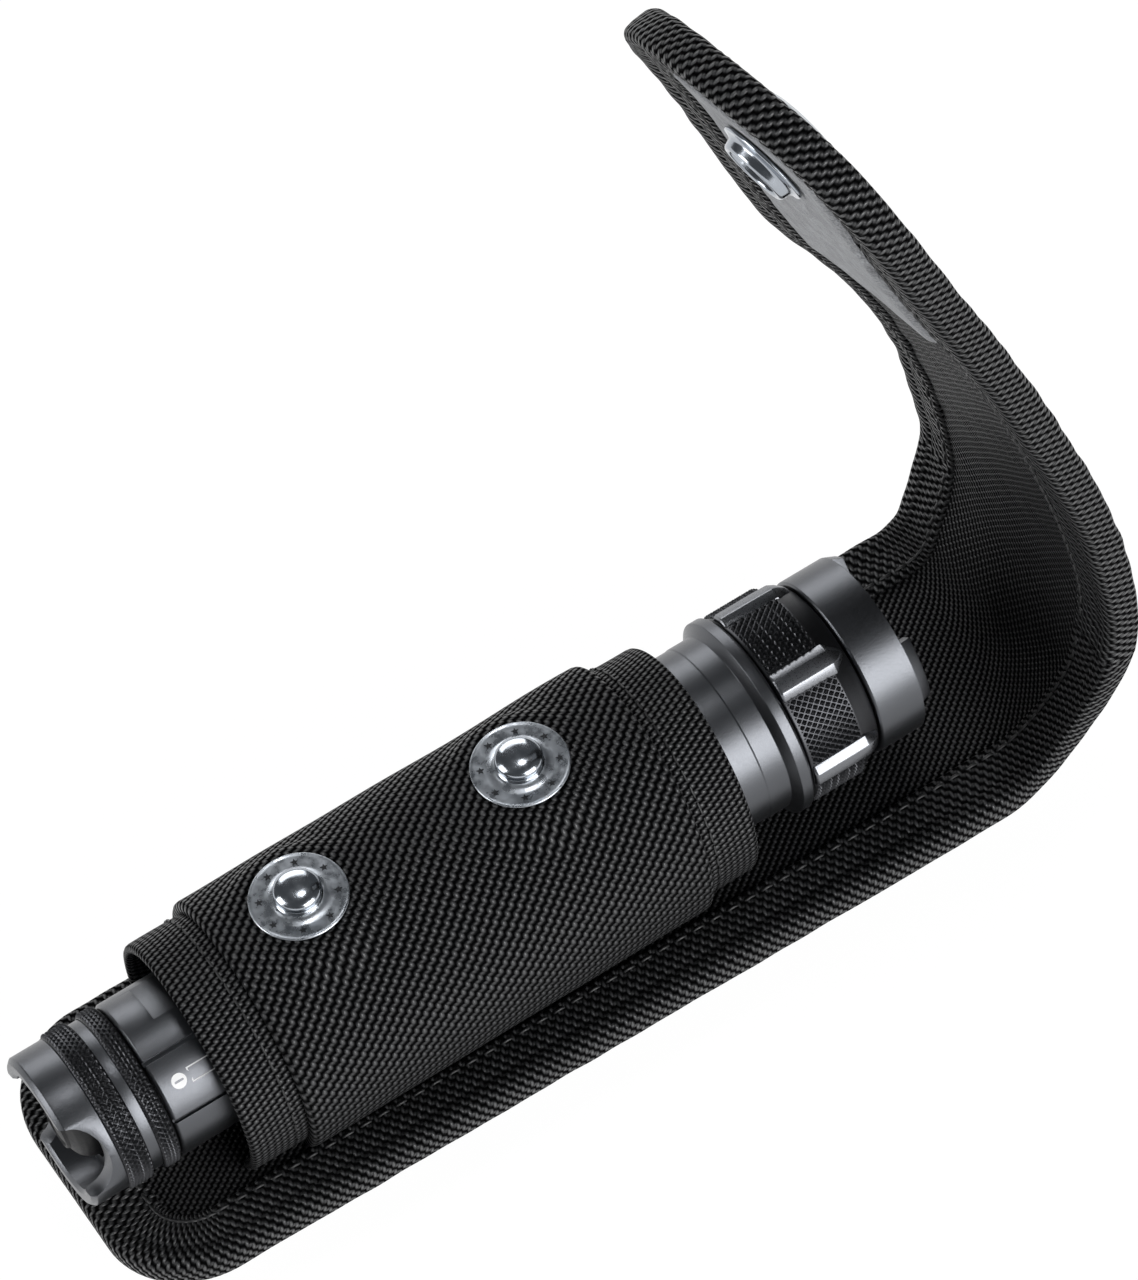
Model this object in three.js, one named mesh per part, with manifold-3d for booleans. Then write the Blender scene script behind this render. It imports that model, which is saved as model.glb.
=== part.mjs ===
// A tactical flashlight lying in its woven belt pouch, with the pouch flap standing open.
// Millimetres, +Z up. The flashlight's axis runs along X from the tailcap to the bezel.
// The origin is the middle of the belt loop's outer face, on which everything rests.

import * as THREE from "three";
import { mergeVertices } from "three/addons/utils/BufferGeometryUtils.js";
import Module from "manifold-3d";

const wasm = await Module();
wasm.setup();

// ---------- driving dimensions ----------

const ROUND_SIDES = 48; // facets on the flashlight's turned parts
const SMALL_SIDES = 24; // facets on small turned parts and on parts inside
const FIT = 0.3; // gap between resting neighbours

const TAILCAP_LENGTH = 14.6;
const TAILCAP_RADIUS = 12.2;
const KNURL_RADIUS = 12.7; // a one inch tailcap over its knurled rings
const CROWN_DEPTH = 5.0; // recess that guards the tail button
const SCOOP_ANGLE = 65; // direction of the thumb scoops, degrees from +Z towards -Y
const SCOOP_RADIUS = 4.3;
const BODY_RADIUS = 12.35;
const BODY_START = 14.9;
const CELL_RADIUS = 8.3;
const CELL_LENGTH = 34.2;
const CELL_BORE = 8.7;
const THREAD_RADIUS = 10.2;
const LABEL_ANGLE = 47; // middle of the label flat
const LABEL_HALF_ANGLE = 23;
const WRENCH_ANGLE = -20; // middle of the plain milled flat
const NECK_RADIUS = 14.3;
const COLLAR_RADIUS = 16.0;
const COLLAR_END = 120.7;
const PAD_RADIUS = 15.55;
const RIB_RADIUS = 16.2;
const RIB_ANGLE = 27; // first of six ribs, 60 degrees apart
const BEZEL_RADIUS = 14.4;
const BEZEL_START = 133.6;
const BEZEL_END = 142.8;
const TOOTH_ANGLE = 62; // first of three bezel teeth
const TOOTH_HALF_ANGLE = 21;
const SWITCH_TRAVEL = 1.2;

const CLOTH = 4; // thickness of the padded back panel and flap
const HALF_WIDTH = 26; // of the back panel and the flap over their binding
const BINDING_HEIGHT = 6;
const BINDING_WIDTH = 3;
const CORNER_RADIUS = 15; // the pouch's bottom corners
const TIP_RADIUS = 23; // the flap's tip corners
const BACK_TOP = -16.3; // inner face of the back panel
const BACK_MID = BACK_TOP - CLOTH / 2;
const BACK_START = -1;
const CREASE_X = 163.3; // where the flap's neck folds up from the back panel
const NECK_HEADING = 71; // direction of the neck above the back panel, degrees from +X
const NECK_BENDS = [
  [18, 0],
  [7, 21.5],
  [20.5, 7.5],
]; // stretches of the neck's middle surface: length and turn in degrees
const FLAP_BENDS = [
  [42.7, 11.5],
  [50, -6],
  [30, 8.7],
];
const CUP = 1; // the flap's edges curl this far inwards
const TWIST = 7; // degrees of twist of the flap against its neck
const SHAPE_EASE = 50; // curl and twist grow from nothing over this distance from the bend
const SOCKET_AT = 99.7; // distance of the snap socket along the flap from its bend
const PATCH_START = 54;
const PATCH_END = 111;
const PATCH_HALF_WIDTH = 13;
const PATCH_CLOTH = 1;

const ARCH_CENTRE_Z = -2; // centre of the front panel's oval section
const ARCH_HALF_WIDTH = 19.5;
const ARCH_HALF_HEIGHT = 22;
const FRONT_START = 32;
const FRONT_END = 100.7;
const FRONT_CLOTH = 2.3;
const BAND_CLOTH = 1.6;
const BAND_DROP = 1.7; // the bands lie this far inside the front panel's face
const LOWER_BAND_START = 22.8;
const UPPER_BAND_END = 109.5;

const STUD_STATIONS = [45.4, 82.6];
const STUD_RADIUS = 7.3;
const STUD_POST_RADIUS = 3.1;
const STUD_SEAT = 20.3;
const STUD_TOP = 24.0;

const LOOP_START = 30;
const LOOP_END = 108;
const LOOP_SEAM = 9; // each sewn end of the belt loop
const LOOP_HALF_WIDTH = 19;
const LOOP_CLOTH = 2;
const BELT_GAP = 6;
const LOOP_FLOOR = BACK_TOP - CLOTH - FIT - BELT_GAP - LOOP_CLOTH;

// ---------- materials ----------

const finishes = {
  anodised: { color: 0x2b2d31, roughness: 0.42, metalness: 0.85 },
  polishedRib: { color: 0x33363a, roughness: 0.3, metalness: 0.9 },
  bareAluminium: { color: 0xb9bcc0, roughness: 0.35, metalness: 1 },
  nickel: { color: 0x8d9298, roughness: 0.22, metalness: 1 },
  spring: { color: 0xc9b070, roughness: 0.3, metalness: 1 },
  mirror: { color: 0xe8eaec, roughness: 0.05, metalness: 1 },
  glass: { color: 0xdfe8ea, roughness: 0.03, metalness: 0 },
  rubber: { color: 0x151515, roughness: 0.7, metalness: 0 },
  board: { color: 0x1d3b2a, roughness: 0.5, metalness: 0.1 },
  phosphor: { color: 0xe6d24a, roughness: 0.4, metalness: 0 },
  switchPlastic: { color: 0x202226, roughness: 0.45, metalness: 0 },
  cellSleeve: { color: 0x3a4a5a, roughness: 0.4, metalness: 0.1 },
  nylon: { color: 0x1b1c1e, roughness: 0.8, metalness: 0 },
  grosgrain: { color: 0x222325, roughness: 0.75, metalness: 0 },
  hook: { color: 0x6d7178, roughness: 0.85, metalness: 0 },
};

// ---------- solids ----------

const rad = THREE.MathUtils.degToRad;

function solidOf(geometry) {
  const flat = geometry.index ? geometry.toNonIndexed() : geometry;
  const plain = new THREE.BufferGeometry();
  plain.setAttribute("position", flat.getAttribute("position"));
  const merged = mergeVertices(plain, 1e-4);
  const vertProperties = merged.attributes.position.array;
  const triVerts = new Uint32Array(merged.index.array);
  return new wasm.Manifold(new wasm.Mesh({ numProp: 3, vertProperties, triVerts }));
}

function geometryOf(solid) {
  const { vertProperties, triVerts } = solid.getMesh();
  const geometry = new THREE.BufferGeometry();
  const positions = new THREE.BufferAttribute(new Float32Array(vertProperties), 3);
  geometry.setAttribute("position", positions);
  geometry.setIndex(new THREE.BufferAttribute(new Uint32Array(triVerts), 1));
  geometry.computeVertexNormals();
  return geometry;
}

// Turns a profile of [station, radius] pairs about the X axis.
function turned(profile, sides = ROUND_SIDES) {
  const points = profile.map(([station, radius]) => new THREE.Vector2(radius, station));
  return new THREE.LatheGeometry(points, sides).rotateZ(-Math.PI / 2);
}

// A tube between two stations: a ring of rectangular section.
function ring(start, end, inner, outer, sides) {
  const corners = [
    [start, inner],
    [start, outer],
    [end, outer],
    [end, inner],
    [start, inner],
  ];
  return turned(corners, sides);
}

function disc(start, end, radius, sides = ROUND_SIDES) {
  const profile = [
    [start, 0],
    [start, radius],
    [end, radius],
    [end, 0],
  ];
  return turned(profile, sides);
}

function roundSeal(station, radius, thickness) {
  return new THREE.TorusGeometry(radius, thickness, 4, SMALL_SIDES)
    .rotateY(Math.PI / 2)
    .translate(station, 0, 0);
}

// Turns a solid modelled pointing up (+Z) to point at an angle from +Z towards -Y.
function aimed(geometry, degrees) {
  return geometry.rotateX(rad(degrees));
}

// A closed solid between an upper and a lower grid of points. pointAt(u, v, side) gives the
// point at the fractions u and v, for side 1 (upper) and -1 (lower).
function sheetSolid(uSteps, vSteps, pointAt) {
  const positions = [];
  const quad = (a, b, c, d) => positions.push(...a, ...b, ...c, ...a, ...c, ...d);
  const at = (i, j, side) => pointAt(i / uSteps, j / vSteps, side).toArray();
  for (let i = 0; i < uSteps; i++) {
    for (let j = 0; j < vSteps; j++) {
      quad(at(i, j, 1), at(i + 1, j, 1), at(i + 1, j + 1, 1), at(i, j + 1, 1));
      quad(at(i, j, -1), at(i, j + 1, -1), at(i + 1, j + 1, -1), at(i + 1, j, -1));
    }
    quad(at(i, 0, -1), at(i + 1, 0, -1), at(i + 1, 0, 1), at(i, 0, 1));
    quad(at(i, vSteps, 1), at(i + 1, vSteps, 1), at(i + 1, vSteps, -1), at(i, vSteps, -1));
  }
  for (let j = 0; j < vSteps; j++) {
    quad(at(0, j, 1), at(0, j + 1, 1), at(0, j + 1, -1), at(0, j, -1));
    quad(at(uSteps, j, -1), at(uSteps, j + 1, -1), at(uSteps, j + 1, 1), at(uSteps, j, 1));
  }
  const geometry = new THREE.BufferGeometry();
  geometry.setAttribute("position", new THREE.Float32BufferAttribute(positions, 3));
  geometry.computeVertexNormals();
  return geometry;
}

// ---------- scene graph ----------

const object = new THREE.Group();
object.position.set(-(LOOP_START + LOOP_END) / 2, 0, -LOOP_FLOOR);

function add(name, geometry, finish, parent = object) {
  const mesh = new THREE.Mesh(geometry, new THREE.MeshStandardMaterial(finishes[finish]));
  mesh.name = name;
  parent.add(mesh);
  return mesh;
}

// ---------- flashlight: tailcap and switch ----------

function tailcapGeometry() {
  const crownWall = 9.4;
  const buttonHole = 6.7;
  const floorEnd = CROWN_DEPTH + 1.2;
  const bore = THREAD_RADIUS + 0.15;
  const profile = [
    [0.5, crownWall],
    [0, crownWall + 0.6],
    [0, TAILCAP_RADIUS - 0.7],
    [0.7, TAILCAP_RADIUS],
    [5.8, TAILCAP_RADIUS],
    [5.9, KNURL_RADIUS - 0.2],
    [6.3, KNURL_RADIUS],
    [9.6, KNURL_RADIUS],
    [10, KNURL_RADIUS - 0.2],
    [10.1, TAILCAP_RADIUS - 0.2],
    [11.6, TAILCAP_RADIUS - 0.2],
    [11.7, KNURL_RADIUS - 0.2],
    [12.1, KNURL_RADIUS],
    [14.1, KNURL_RADIUS],
    [TAILCAP_LENGTH, KNURL_RADIUS - 0.3],
    [TAILCAP_LENGTH, bore],
    [floorEnd, bore],
    [floorEnd, buttonHole],
    [CROWN_DEPTH, buttonHole],
    [CROWN_DEPTH, crownWall],
    [0.5, crownWall],
  ];
  const scoop = new THREE.CylinderGeometry(SCOOP_RADIUS, SCOOP_RADIUS, 60, SMALL_SIDES)
    .rotateX(Math.PI / 2)
    .translate(0.4, 0, 0);
  const cap = solidOf(turned(profile)).subtract(solidOf(aimed(scoop, SCOOP_ANGLE)));
  return geometryOf(cap);
}

add("tailcap", tailcapGeometry(), "anodised");

const bootProfile = [
  [1.2, 0],
  [1.4, 2.6],
  [2.4, 4.9],
  [4, 6],
  [6, 6.2],
  [6, 5.2],
  [4.4, 5],
  [3.4, 4],
  [3, 2.2],
  [2.9, 0],
];
add("switch_boot", turned(bootProfile, SMALL_SIDES), "rubber");
add("boot_flange", ring(6.5, 7.2, 6.9, 9.8, SMALL_SIDES), "rubber");
add("switch_ring", ring(7.5, 9.0, 7.2, 9.8, SMALL_SIDES), "bareAluminium");
add("switch_plunger", disc(3.2, 10, 2, SMALL_SIDES), "switchPlastic");

const switchBodyProfile = [
  [9.4, 2.3],
  [9.4, 5.6],
  [12.4, 5.6],
  [12.4, 0],
  [10.2 + SWITCH_TRAVEL, 0],
  [10.2 + SWITCH_TRAVEL, 2.3],
  [9.4, 2.3],
];
add("switch_body", turned(switchBodyProfile, SMALL_SIDES), "switchPlastic");
add("switch_board", disc(12.7, 13.6, CELL_BORE - 0.4, SMALL_SIDES), "board");

// ---------- flashlight: contact springs ----------

// A round wire wound from one station to another, its radius easing from wide to narrow.
function coilSpring(start, end, wide, narrow, turns, wire) {
  const points = [];
  const steps = turns * 10;
  for (let i = 0; i <= steps; i++) {
    const part = i / steps;
    const angle = part * turns * 2 * Math.PI;
    const radius = THREE.MathUtils.lerp(wide, narrow, part);
    const station = THREE.MathUtils.lerp(start + wire, end - wire, part);
    points.push(
      new THREE.Vector3(station, radius * Math.cos(angle), radius * Math.sin(angle)),
    );
  }
  const section = new THREE.Shape().absarc(0, 0, wire, 0, 2 * Math.PI);
  return new THREE.ExtrudeGeometry(section, {
    steps,
    curveSegments: 2,
    extrudePath: new THREE.CatmullRomCurve3(points),
  });
}

const CELL_REAR_START = 19.5;
const CELL_FRONT_START = CELL_REAR_START + CELL_LENGTH + 1.5;
add("tail_spring", coilSpring(13.9, CELL_REAR_START - FIT, 6, 4, 4, 0.45), "spring");

// ---------- flashlight: body ----------

function grooveCutter(degrees) {
  const groove = new THREE.BoxGeometry(9, 0.7, 1.2);
  return solidOf(aimed(groove.translate(BODY_START + 4.5, 0, BODY_RADIUS), degrees));
}

function flatCutter(start, end, degrees, halfAngle) {
  const depth = BODY_RADIUS * Math.cos(rad(halfAngle));
  const block = new THREE.BoxGeometry(end - start, 20, 4);
  block.translate((start + end) / 2, 0, depth + 2);
  return solidOf(aimed(block, degrees));
}

const BODY_END = 95;
const FRONT_THREAD_END = 104;
const DRIVER_POCKET = 10.4;
function bodyGeometry() {
  const profile = [
    [9.4, CELL_BORE],
    [9.4, THREAD_RADIUS],
    [12.6, THREAD_RADIUS],
    [12.6, 9.3],
    [13.8, 9.3],
    [13.8, THREAD_RADIUS],
    [BODY_START, THREAD_RADIUS],
    [BODY_START, BODY_RADIUS - 0.4],
    [BODY_START + 0.4, BODY_RADIUS],
    [BODY_END, BODY_RADIUS],
    [BODY_END, 11.6],
    [96.8, 11.6],
    [96.8, 11.9],
    [FRONT_THREAD_END, 11.9],
    [FRONT_THREAD_END, DRIVER_POCKET],
    [99.6, DRIVER_POCKET],
    [99.6, CELL_BORE],
    [9.4, CELL_BORE],
  ];
  let body = solidOf(turned(profile));
  body = body.subtract(grooveCutter(LABEL_ANGLE - LABEL_HALF_ANGLE));
  body = body.subtract(grooveCutter(LABEL_ANGLE + LABEL_HALF_ANGLE));
  for (const turn of [0, 180]) {
    body = body.subtract(flatCutter(19.8, 60, WRENCH_ANGLE + turn, 20));
  }
  return geometryOf(body);
}

add("body_tube", bodyGeometry(), "anodised");
add("tail_seal", roundSeal(13.2, 9.75, 0.4), "rubber");
add("head_seal", roundSeal(95.9, 12.2, 0.5), "rubber");

// Each cell has a sleeve with a rolled edge at the tail and a contact button at the front.
function cellGeometry() {
  const profile = [
    [0, 0],
    [0, CELL_RADIUS - 0.8],
    [0.4, CELL_RADIUS],
    [CELL_LENGTH - 0.8, CELL_RADIUS],
    [CELL_LENGTH, CELL_RADIUS - 0.8],
    [CELL_LENGTH, 2.8],
    [CELL_LENGTH + 1, 2.6],
    [CELL_LENGTH + 1, 0],
  ];
  return turned(profile, SMALL_SIDES);
}

add("cell_rear", cellGeometry(), "cellSleeve").position.x = CELL_REAR_START;
add("cell_front", cellGeometry(), "cellSleeve").position.x = CELL_FRONT_START;
const DRIVER_START = 100.2;
const springStart = CELL_FRONT_START + CELL_LENGTH + 1 + FIT;
add("driver_spring", coilSpring(springStart, DRIVER_START - FIT, 3.2, 5, 4, 0.45), "spring");

// ---------- flashlight: head ----------

add("driver_board", disc(DRIVER_START, 101.4, 10, SMALL_SIDES), "board");

const HEAD_BORE = 12.5;
const heatSinkProfile = [
  [101.8, 0],
  [101.8, 9.8],
  [FRONT_THREAD_END + 0.5, 9.8],
  [FRONT_THREAD_END + 0.5, HEAD_BORE - 0.1],
  [113.6, HEAD_BORE - 0.1],
  [113.6, 0],
];
add("heat_sink", turned(heatSinkProfile, SMALL_SIDES), "bareAluminium");
add("led_board", disc(113.9, 115, 8, SMALL_SIDES), "board");

const LED_RADIUS = 1.8;
const ledProfile = [[115.3, 0]];
for (let step = 0; step <= 4; step++) {
  const angle = (step / 4) * (Math.PI / 2);
  ledProfile.push([115.3 + LED_RADIUS * Math.sin(angle), LED_RADIUS * Math.cos(angle)]);
}
add("led_dome", turned(ledProfile, SMALL_SIDES), "phosphor");

const neckProfile = [
  [97.1, 12.0],
  [97.1, 13.2],
  [98.2, NECK_RADIUS - 0.15],
  [113.8, NECK_RADIUS - 0.15],
  [114.1, NECK_RADIUS],
  [117.6, NECK_RADIUS],
  [118.7, COLLAR_RADIUS],
  [120.4, COLLAR_RADIUS],
  [COLLAR_END, COLLAR_RADIUS - 0.3],
  [COLLAR_END, HEAD_BORE],
  [FRONT_THREAD_END + 0.3, HEAD_BORE],
  [FRONT_THREAD_END + 0.3, 12.0],
  [97.1, 12.0],
];
add("head_neck", turned(neckProfile), "anodised");

// One rib: a raised bar with a steep front, like a ship's prow.
function ribSolid(degrees) {
  const side = new THREE.Shape();
  side.moveTo(121.2, 13.5);
  side.lineTo(121.2, RIB_RADIUS - 0.3);
  side.lineTo(121.5, RIB_RADIUS);
  side.lineTo(130.6, RIB_RADIUS);
  side.lineTo(132.4, RIB_RADIUS - 1.0);
  side.lineTo(132.0, 13.5);
  const width = 2.3;
  const bar = new THREE.ExtrudeGeometry(side, { depth: width, bevelEnabled: false });
  bar.translate(0, 0, -width / 2).rotateX(Math.PI / 2);
  return solidOf(aimed(bar, degrees));
}

function headShellGeometry() {
  const profile = [
    [COLLAR_END + FIT, HEAD_BORE],
    [COLLAR_END + FIT, 15.2],
    [121.3, PAD_RADIUS],
    [129.8, PAD_RADIUS],
    [130.4, 15.1],
    [133.3, 13.75],
    [133.3, HEAD_BORE],
    [COLLAR_END + FIT, HEAD_BORE],
  ];
  let shell = solidOf(turned(profile));
  for (let rib = 0; rib < 6; rib++) shell = shell.add(ribSolid(RIB_ANGLE + 60 * rib));
  return geometryOf(shell);
}

add("head_shell", headShellGeometry(), "polishedRib");

function bezelGeometry() {
  const toothRoot = 141.1;
  const lip = 10.7;
  const profile = [
    [BEZEL_START, HEAD_BORE],
    [BEZEL_START, BEZEL_RADIUS - 0.3],
    [BEZEL_START + 0.3, BEZEL_RADIUS],
    [toothRoot, BEZEL_RADIUS],
    [BEZEL_END, BEZEL_RADIUS - 0.7],
    [BEZEL_END, lip + 0.4],
    [139, lip],
    [139, HEAD_BORE],
    [BEZEL_START, HEAD_BORE],
  ];
  let bezel = solidOf(turned(profile));
  const halfGap = rad(60 - TOOTH_HALF_ANGLE);
  const reach = 22;
  const sector = new THREE.Shape();
  sector.moveTo(0, 0);
  sector.lineTo(reach * Math.sin(halfGap), reach * Math.cos(halfGap));
  sector.lineTo(-reach * Math.sin(halfGap), reach * Math.cos(halfGap));
  for (let gap = 0; gap < 3; gap++) {
    const cutter = new THREE.ExtrudeGeometry(sector, { depth: 4, bevelEnabled: false });
    cutter.rotateX(Math.PI / 2).rotateZ(Math.PI / 2).translate(toothRoot, 0, 0);
    bezel = bezel.subtract(solidOf(aimed(cutter, TOOTH_ANGLE + 60 + 120 * gap)));
  }
  return geometryOf(bezel);
}

add("bezel_ring", bezelGeometry(), "anodised");

function reflectorGeometry() {
  const smallEnd = 115.6;
  const largeEnd = 135.8;
  const throat = 3;
  const mouth = 11.3;
  const wall = 0.7;
  const radiusAt = (part) => Math.sqrt(throat ** 2 + part * (mouth ** 2 - throat ** 2));
  const inner = [];
  const outer = [];
  const steps = 5;
  for (let step = 0; step <= steps; step++) {
    const part = (step / steps) ** 1.5;
    const station = THREE.MathUtils.lerp(smallEnd, largeEnd, part);
    inner.push([station, radiusAt(part)]);
    outer.push([station, radiusAt(part) + wall]);
  }
  return turned([...outer, ...inner.reverse(), outer[0]], SMALL_SIDES);
}

add("reflector", reflectorGeometry(), "mirror");
add("front_lens", disc(136.2, 137.7, 12.1, SMALL_SIDES), "glass");
add("lens_seal", roundSeal(138.3, 11.6, 0.45), "rubber");

// ---------- pouch: back panel ----------

const PANEL_HALF = HALF_WIDTH - BINDING_WIDTH - FIT;
const BEAD_GAP = 3.6; // the stiff binding stops this far short of a fold
const FOLD_EDGE = 0.2; // half thickness of a cloth solid at its fold
const FOLD_SLOPE = 0.6;
const FOLD_FULL = 3.4; // distance from the fold at which the cloth is at full thickness

// Half thickness near a fold: each cloth solid thins to a wedge towards the fold's axis.
function foldThickness(distance) {
  return Math.min(CLOTH / 2, FOLD_EDGE + FOLD_SLOPE * Math.max(0, distance - FIT));
}

// Half width of a panel with round corners, at a distance from its end.
function roundedHalfWidth(distance, radius, full) {
  if (distance >= radius) return full;
  return full - radius + Math.sqrt(radius ** 2 - (radius - distance) ** 2);
}

// The back panel's stations are close together at its round end and at its fold.
function backPanelGeometry() {
  const length = CREASE_X - FIT - BACK_START - BINDING_WIDTH - FIT;
  const start = BACK_START + BINDING_WIDTH + FIT;
  const stations = [0, 0.4, 1.5, 3, 5, 8, 11, 15, length / 3, (2 * length) / 3];
  stations.push(length + FIT - FOLD_FULL, length - 1.2, length);
  return sheetSolid(stations.length - 1, 6, (u, v, side) => {
    const along = stations[Math.round(u * (stations.length - 1))];
    const half = roundedHalfWidth(along, CORNER_RADIUS - BINDING_WIDTH, PANEL_HALF);
    const thickness = foldThickness(length + FIT - along);
    return new THREE.Vector3(start + along, half * (2 * v - 1), BACK_MID + side * thickness);
  });
}

add("back_panel", backPanelGeometry(), "nylon");

// The U-shaped outline of a panel with its round end at along = 0, from one open end round
// to the other.
function outlinePath(length, radius, full, straightSteps, cornerSteps) {
  const path = [];
  for (const hand of [1, -1]) {
    const half = [];
    const centre = new THREE.Vector2(radius, hand * (full - radius));
    for (let step = 0; step < straightSteps; step++) {
      const along = THREE.MathUtils.lerp(length, radius, step / straightSteps);
      const point = new THREE.Vector2(along, hand * full);
      half.push({ point, inward: new THREE.Vector2(0, -hand) });
    }
    for (let step = 0; step <= cornerSteps; step++) {
      const angle = (step / cornerSteps) * (Math.PI / 2);
      const inward = new THREE.Vector2(Math.sin(angle), -hand * Math.cos(angle));
      half.push({ point: centre.clone().addScaledVector(inward, -radius), inward });
    }
    path.push(...(hand === 1 ? half : half.reverse()));
  }
  return path;
}

// The binding's stiff bead round three edges of a panel. place(along, across, height) puts a
// point of the flat panel in space.
function edgeBead(path, place) {
  const steps = path.length - 1;
  return sheetSolid(steps, 1, (u, v, side) => {
    const { point, inward } = path[Math.round(u * steps)];
    const spot = point.clone().addScaledVector(inward, v * BINDING_WIDTH);
    return place(spot.x, spot.y, (side * BINDING_HEIGHT) / 2);
  });
}

const backOutline = outlinePath(
  CREASE_X - BEAD_GAP - BACK_START,
  CORNER_RADIUS,
  HALF_WIDTH,
  3,
  8,
);
const onBack = (along, across, height) =>
  new THREE.Vector3(BACK_START + along, across, BACK_MID + height);
add("back_binding", edgeBead(backOutline, onBack), "grosgrain");

// ---------- pouch: front panel and bands ----------

// An arch over the flashlight between two stations, its oval inset from the front panel's.
function archGeometry(start, end, inset, cloth) {
  const foot = BACK_TOP + FIT;
  return sheetSolid(2, 28, (u, v, side) => {
    const shrink = inset + (side === 1 ? 0 : cloth);
    const halfWidth = ARCH_HALF_WIDTH - shrink;
    const halfHeight = ARCH_HALF_HEIGHT - shrink;
    const footAngle = Math.acos((foot - ARCH_CENTRE_Z) / halfHeight);
    const angle = footAngle * (2 * v - 1);
    const z = ARCH_CENTRE_Z + halfHeight * Math.cos(angle);
    return new THREE.Vector3(start + (end - start) * u, halfWidth * Math.sin(angle), z);
  });
}

add("front_panel", archGeometry(FRONT_START, FRONT_END, 0, FRONT_CLOTH), "nylon");
const lowerBandEnd = FRONT_START - FIT;
add("lower_band", archGeometry(LOWER_BAND_START, lowerBandEnd, BAND_DROP, BAND_CLOTH), "grosgrain");
const upperBandStart = FRONT_END + FIT;
add("upper_band", archGeometry(upperBandStart, UPPER_BAND_END, BAND_DROP, BAND_CLOTH), "grosgrain");

// ---------- pouch: snap studs ----------

// The pressed flange of a stud, with a rolled rim.
function studFlange() {
  const seat = STUD_SEAT;
  const profile = [
    [seat, STUD_POST_RADIUS + FIT + 0.1],
    [seat, STUD_RADIUS - 0.5],
    [seat + 0.4, STUD_RADIUS],
    [seat + 0.8, STUD_RADIUS - 0.3],
    [seat + 0.6, STUD_RADIUS - 1.2],
    [seat + 0.7, STUD_POST_RADIUS + FIT + 0.1],
    [seat, STUD_POST_RADIUS + FIT + 0.1],
  ];
  return turned(profile, SMALL_SIDES).rotateY(-Math.PI / 2);
}

// The mushroom-headed post that the socket snaps over.
function studPost() {
  const profile = [
    [STUD_SEAT, 0],
    [STUD_SEAT, STUD_POST_RADIUS],
    [STUD_SEAT + 1.8, STUD_POST_RADIUS],
    [STUD_SEAT + 2.3, STUD_POST_RADIUS + 0.4],
    [STUD_TOP - 0.6, STUD_POST_RADIUS + 0.3],
    [STUD_TOP - 0.1, 2.2],
    [STUD_TOP, 0],
  ];
  return turned(profile, SMALL_SIDES).rotateY(-Math.PI / 2);
}

const STUD_NAMES = ["lower", "upper"];
STUD_STATIONS.forEach((station, index) => {
  add("stud_flange_" + STUD_NAMES[index], studFlange(), "nickel").position.x = station;
  add("stud_post_" + STUD_NAMES[index], studPost(), "nickel").position.x = station;
  const washer = disc(15.9, 16.6, 4.4, SMALL_SIDES).rotateY(-Math.PI / 2);
  add("stud_washer_" + STUD_NAMES[index], washer, "nickel").position.x = station;
});

// ---------- pouch: belt loop ----------

function beltLoopGeometry() {
  const seam = LOOP_START + LOOP_SEAM;
  const seamEnd = LOOP_END - LOOP_SEAM;
  const ramp = BELT_GAP;
  const low = LOOP_FLOOR + LOOP_CLOTH / 2;
  const high = low + BELT_GAP;
  const line = [
    [LOOP_START, high],
    [seam, high],
    [seam + ramp, low],
    [seamEnd - ramp, low],
    [seamEnd, high],
    [LOOP_END, high],
  ];
  return sheetSolid(line.length - 1, 2, (u, v, side) => {
    const [x, z] = line[Math.round(u * (line.length - 1))];
    return new THREE.Vector3(x, LOOP_HALF_WIDTH * (2 * v - 1), z + (side * LOOP_CLOTH) / 2);
  });
}

add("belt_loop", beltLoopGeometry(), "nylon");

// ---------- pouch: the flap and its neck ----------

// A point and heading on a bent line, part of the way along one of its stretches.
function alongStretch(stretch, distance) {
  const turn = (stretch.turn * distance) / stretch.length;
  const chord = turn ? (2 * distance * Math.sin(turn / 2)) / turn : distance;
  const middle = stretch.heading + turn / 2;
  const x = stretch.x + chord * Math.cos(middle);
  const z = stretch.z + chord * Math.sin(middle);
  return { x, z, heading: stretch.heading + turn };
}

// A line in the XZ plane made of arcs and straights: a function from the distance along it
// to a point and heading.
function bentLine(start, bends) {
  const stretches = [];
  let here = start;
  for (const [length, turn] of bends) {
    const stretch = { ...here, length, turn: rad(turn) };
    stretches.push(stretch);
    here = alongStretch(stretch, length);
  }
  return (distance) => {
    let left = distance;
    for (const stretch of stretches) {
      if (left <= stretch.length || stretch === stretches.at(-1)) {
        return alongStretch(stretch, left);
      }
      left -= stretch.length;
    }
  };
}

const lengthOf = (bends) => bends.reduce((sum, [length]) => sum + length, 0);
const NECK_LENGTH = lengthOf(NECK_BENDS);
const FLAP_LENGTH = lengthOf(FLAP_BENDS);
const crease = { x: CREASE_X, z: BACK_MID, heading: rad(NECK_HEADING) };
const neckLine = bentLine(crease, NECK_BENDS);
const flapLine = bentLine(neckLine(NECK_LENGTH), FLAP_BENDS);

// Puts a point of the flat cloth in space. height is towards the inside of the flap.
function onLine(at, across, height, cup, twist) {
  const curl = cup * (across / HALF_WIDTH) ** 2;
  const out = -height - curl - across * Math.sin(twist);
  const x = at.x + out * Math.sin(at.heading);
  const z = at.z - out * Math.cos(at.heading);
  return new THREE.Vector3(x, across * Math.cos(twist), z);
}

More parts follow.
